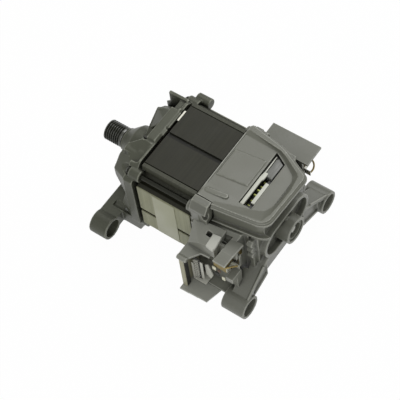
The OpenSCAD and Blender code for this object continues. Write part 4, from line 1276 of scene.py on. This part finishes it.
@dataclass
class Studio:
    """Pale floor, soft light and the camera. Places of lamps and camera are in metres."""

    floor_z: float = -62.6
    floor_half: float = 4.0
    floor_tone: Colour = (0.75, 0.75, 0.74, 1)
    floor_share: float = 0.98
    sky_tone: Colour = (1, 1, 0.985, 1)
    sky: float = 0.58
    key_at: Point = (0.1, 0.75, 1.1)
    key_size: float = 1.0
    key_power: float = 8.7
    fill_at: Point = (0.45, -1.0, 0.75)
    fill_size: float = 1.2
    fill_power: float = 4.6
    aim_at: Point = (0.095, 0, 0)
    eye: Point = (0.5994994, -0.5500054, 1.1526146)
    azimuth: float = 42.8042
    elevation: float = 57.8851
    roll: float = -9.1485
    lens: float = 134.336

    def build(self) -> None:
        """Sets floor, world, lamps and camera."""
        self.floor()
        self.world()
        self.lamp("key", self.key_at, self.key_size, self.key_power)
        self.lamp("fill", self.fill_at, self.fill_size, self.fill_power)
        self.camera()

    def white(self, graph: Graph, plain: Node, kind: str, share: float, *rays: str) -> NodeSocket:
        """Mixes a white that only some rays see over a plain shader.

        Args:
            graph: The tree of nodes.
            plain: The plain shader's node.
            kind: Type of the white shader's node.
            share: Share of white that the rays see.
            *rays: Kinds of rays.

        Returns:
            The mixed shader.
        """
        path = graph.add("ShaderNodeLightPath").outputs
        seen = 0.0
        for ray in rays:
            seen = graph.math("MAXIMUM", seen, path[ray])
        glow = graph.add(kind, Color=(1, 1, 1, 1), Strength=1.0)
        mix = graph.add("ShaderNodeMixShader")
        mixed = (graph.math("MULTIPLY", seen, share), plain.outputs[0], glow.outputs[0])
        for socket, value in zip(mix.inputs, mixed):
            graph.fill(socket, value)
        return mix.outputs[0]

    def floor(self) -> None:
        """A wide pale floor under the lugs."""
        shape = bmesh.new()
        bmesh.ops.create_grid(shape, x_segments=1, y_segments=1, size=self.floor_half)
        bmesh.ops.translate(shape, vec=(0, 0, self.floor_z * MM), verts=shape.verts)
        floor = in_scene("floor", as_mesh("floor", shape))
        made = bpy.data.materials.new("pale floor")
        graph = fresh_graph(made)
        plain = graph.add("ShaderNodeBsdfDiffuse", Color=self.floor_tone)
        seen = self.white(graph, plain, "ShaderNodeEmission", self.floor_share, "Is Camera Ray", "Is Glossy Ray",
                          "Is Transmission Ray")
        graph.add("ShaderNodeOutputMaterial", Surface=seen)
        floor.data.materials.append(made)

    def world(self) -> None:
        """An even pale sky."""
        sky = bpy.data.worlds.new("World")
        graph = fresh_graph(sky)
        plain = graph.add("ShaderNodeBackground", Color=self.sky_tone, Strength=self.sky)
        seen = self.white(graph, plain, "ShaderNodeBackground", 1.0, "Is Camera Ray")
        graph.add("ShaderNodeOutputWorld", Surface=seen)
        bpy.context.scene.world = sky

    def lamp(self, name: str, place: Point, size: float, power: float) -> None:
        """A square soft lamp that looks at the middle of the motor."""
        light = bpy.data.lights.new(name, "AREA")
        light.energy = power
        light.size = size
        holder = in_scene(name, light)
        holder.location = place
        aim = Vector(self.aim_at) - Vector(place)
        holder.rotation_euler = aim.to_track_quat("-Z", "Y").to_euler()

    def camera(self) -> None:
        """The camera at the photograph's viewing angle."""
        az, el, roll = (math.radians(v) for v in (self.azimuth, self.elevation, self.roll))
        back = Vector((math.sin(az) * math.cos(el), -math.cos(az) * math.cos(el), math.sin(el)))
        level = Vector((math.cos(az), math.sin(az), 0))
        upright = back.cross(level)
        right = math.cos(roll) * level + math.sin(roll) * upright
        up = math.cos(roll) * upright - math.sin(roll) * level
        lens = bpy.data.cameras.new("camera")
        lens.lens = self.lens
        lens.sensor_width = 36.0
        lens.clip_end = 20.0
        holder = in_scene("camera", lens)
        turn = Matrix((right, up, back)).transposed().to_4x4()
        holder.matrix_world = Matrix.Translation(self.eye) @ turn
        bpy.context.scene.camera = holder
        bpy.context.scene.view_settings.view_transform = "Standard"


def main() -> None:
    """Builds the motor and its studio."""
    logging.basicConfig(level=logging.INFO, format="%(name)s: %(message)s")
    for part in (DriveEnd(), Pack(), BrushEnd(), TerminalGear(), ConnectorGear(), BrushGear(), Rotor(), Studio()):
        part.build()
        log.info("%s is built", type(part).__name__)


if __name__ == "__main__":
    main()
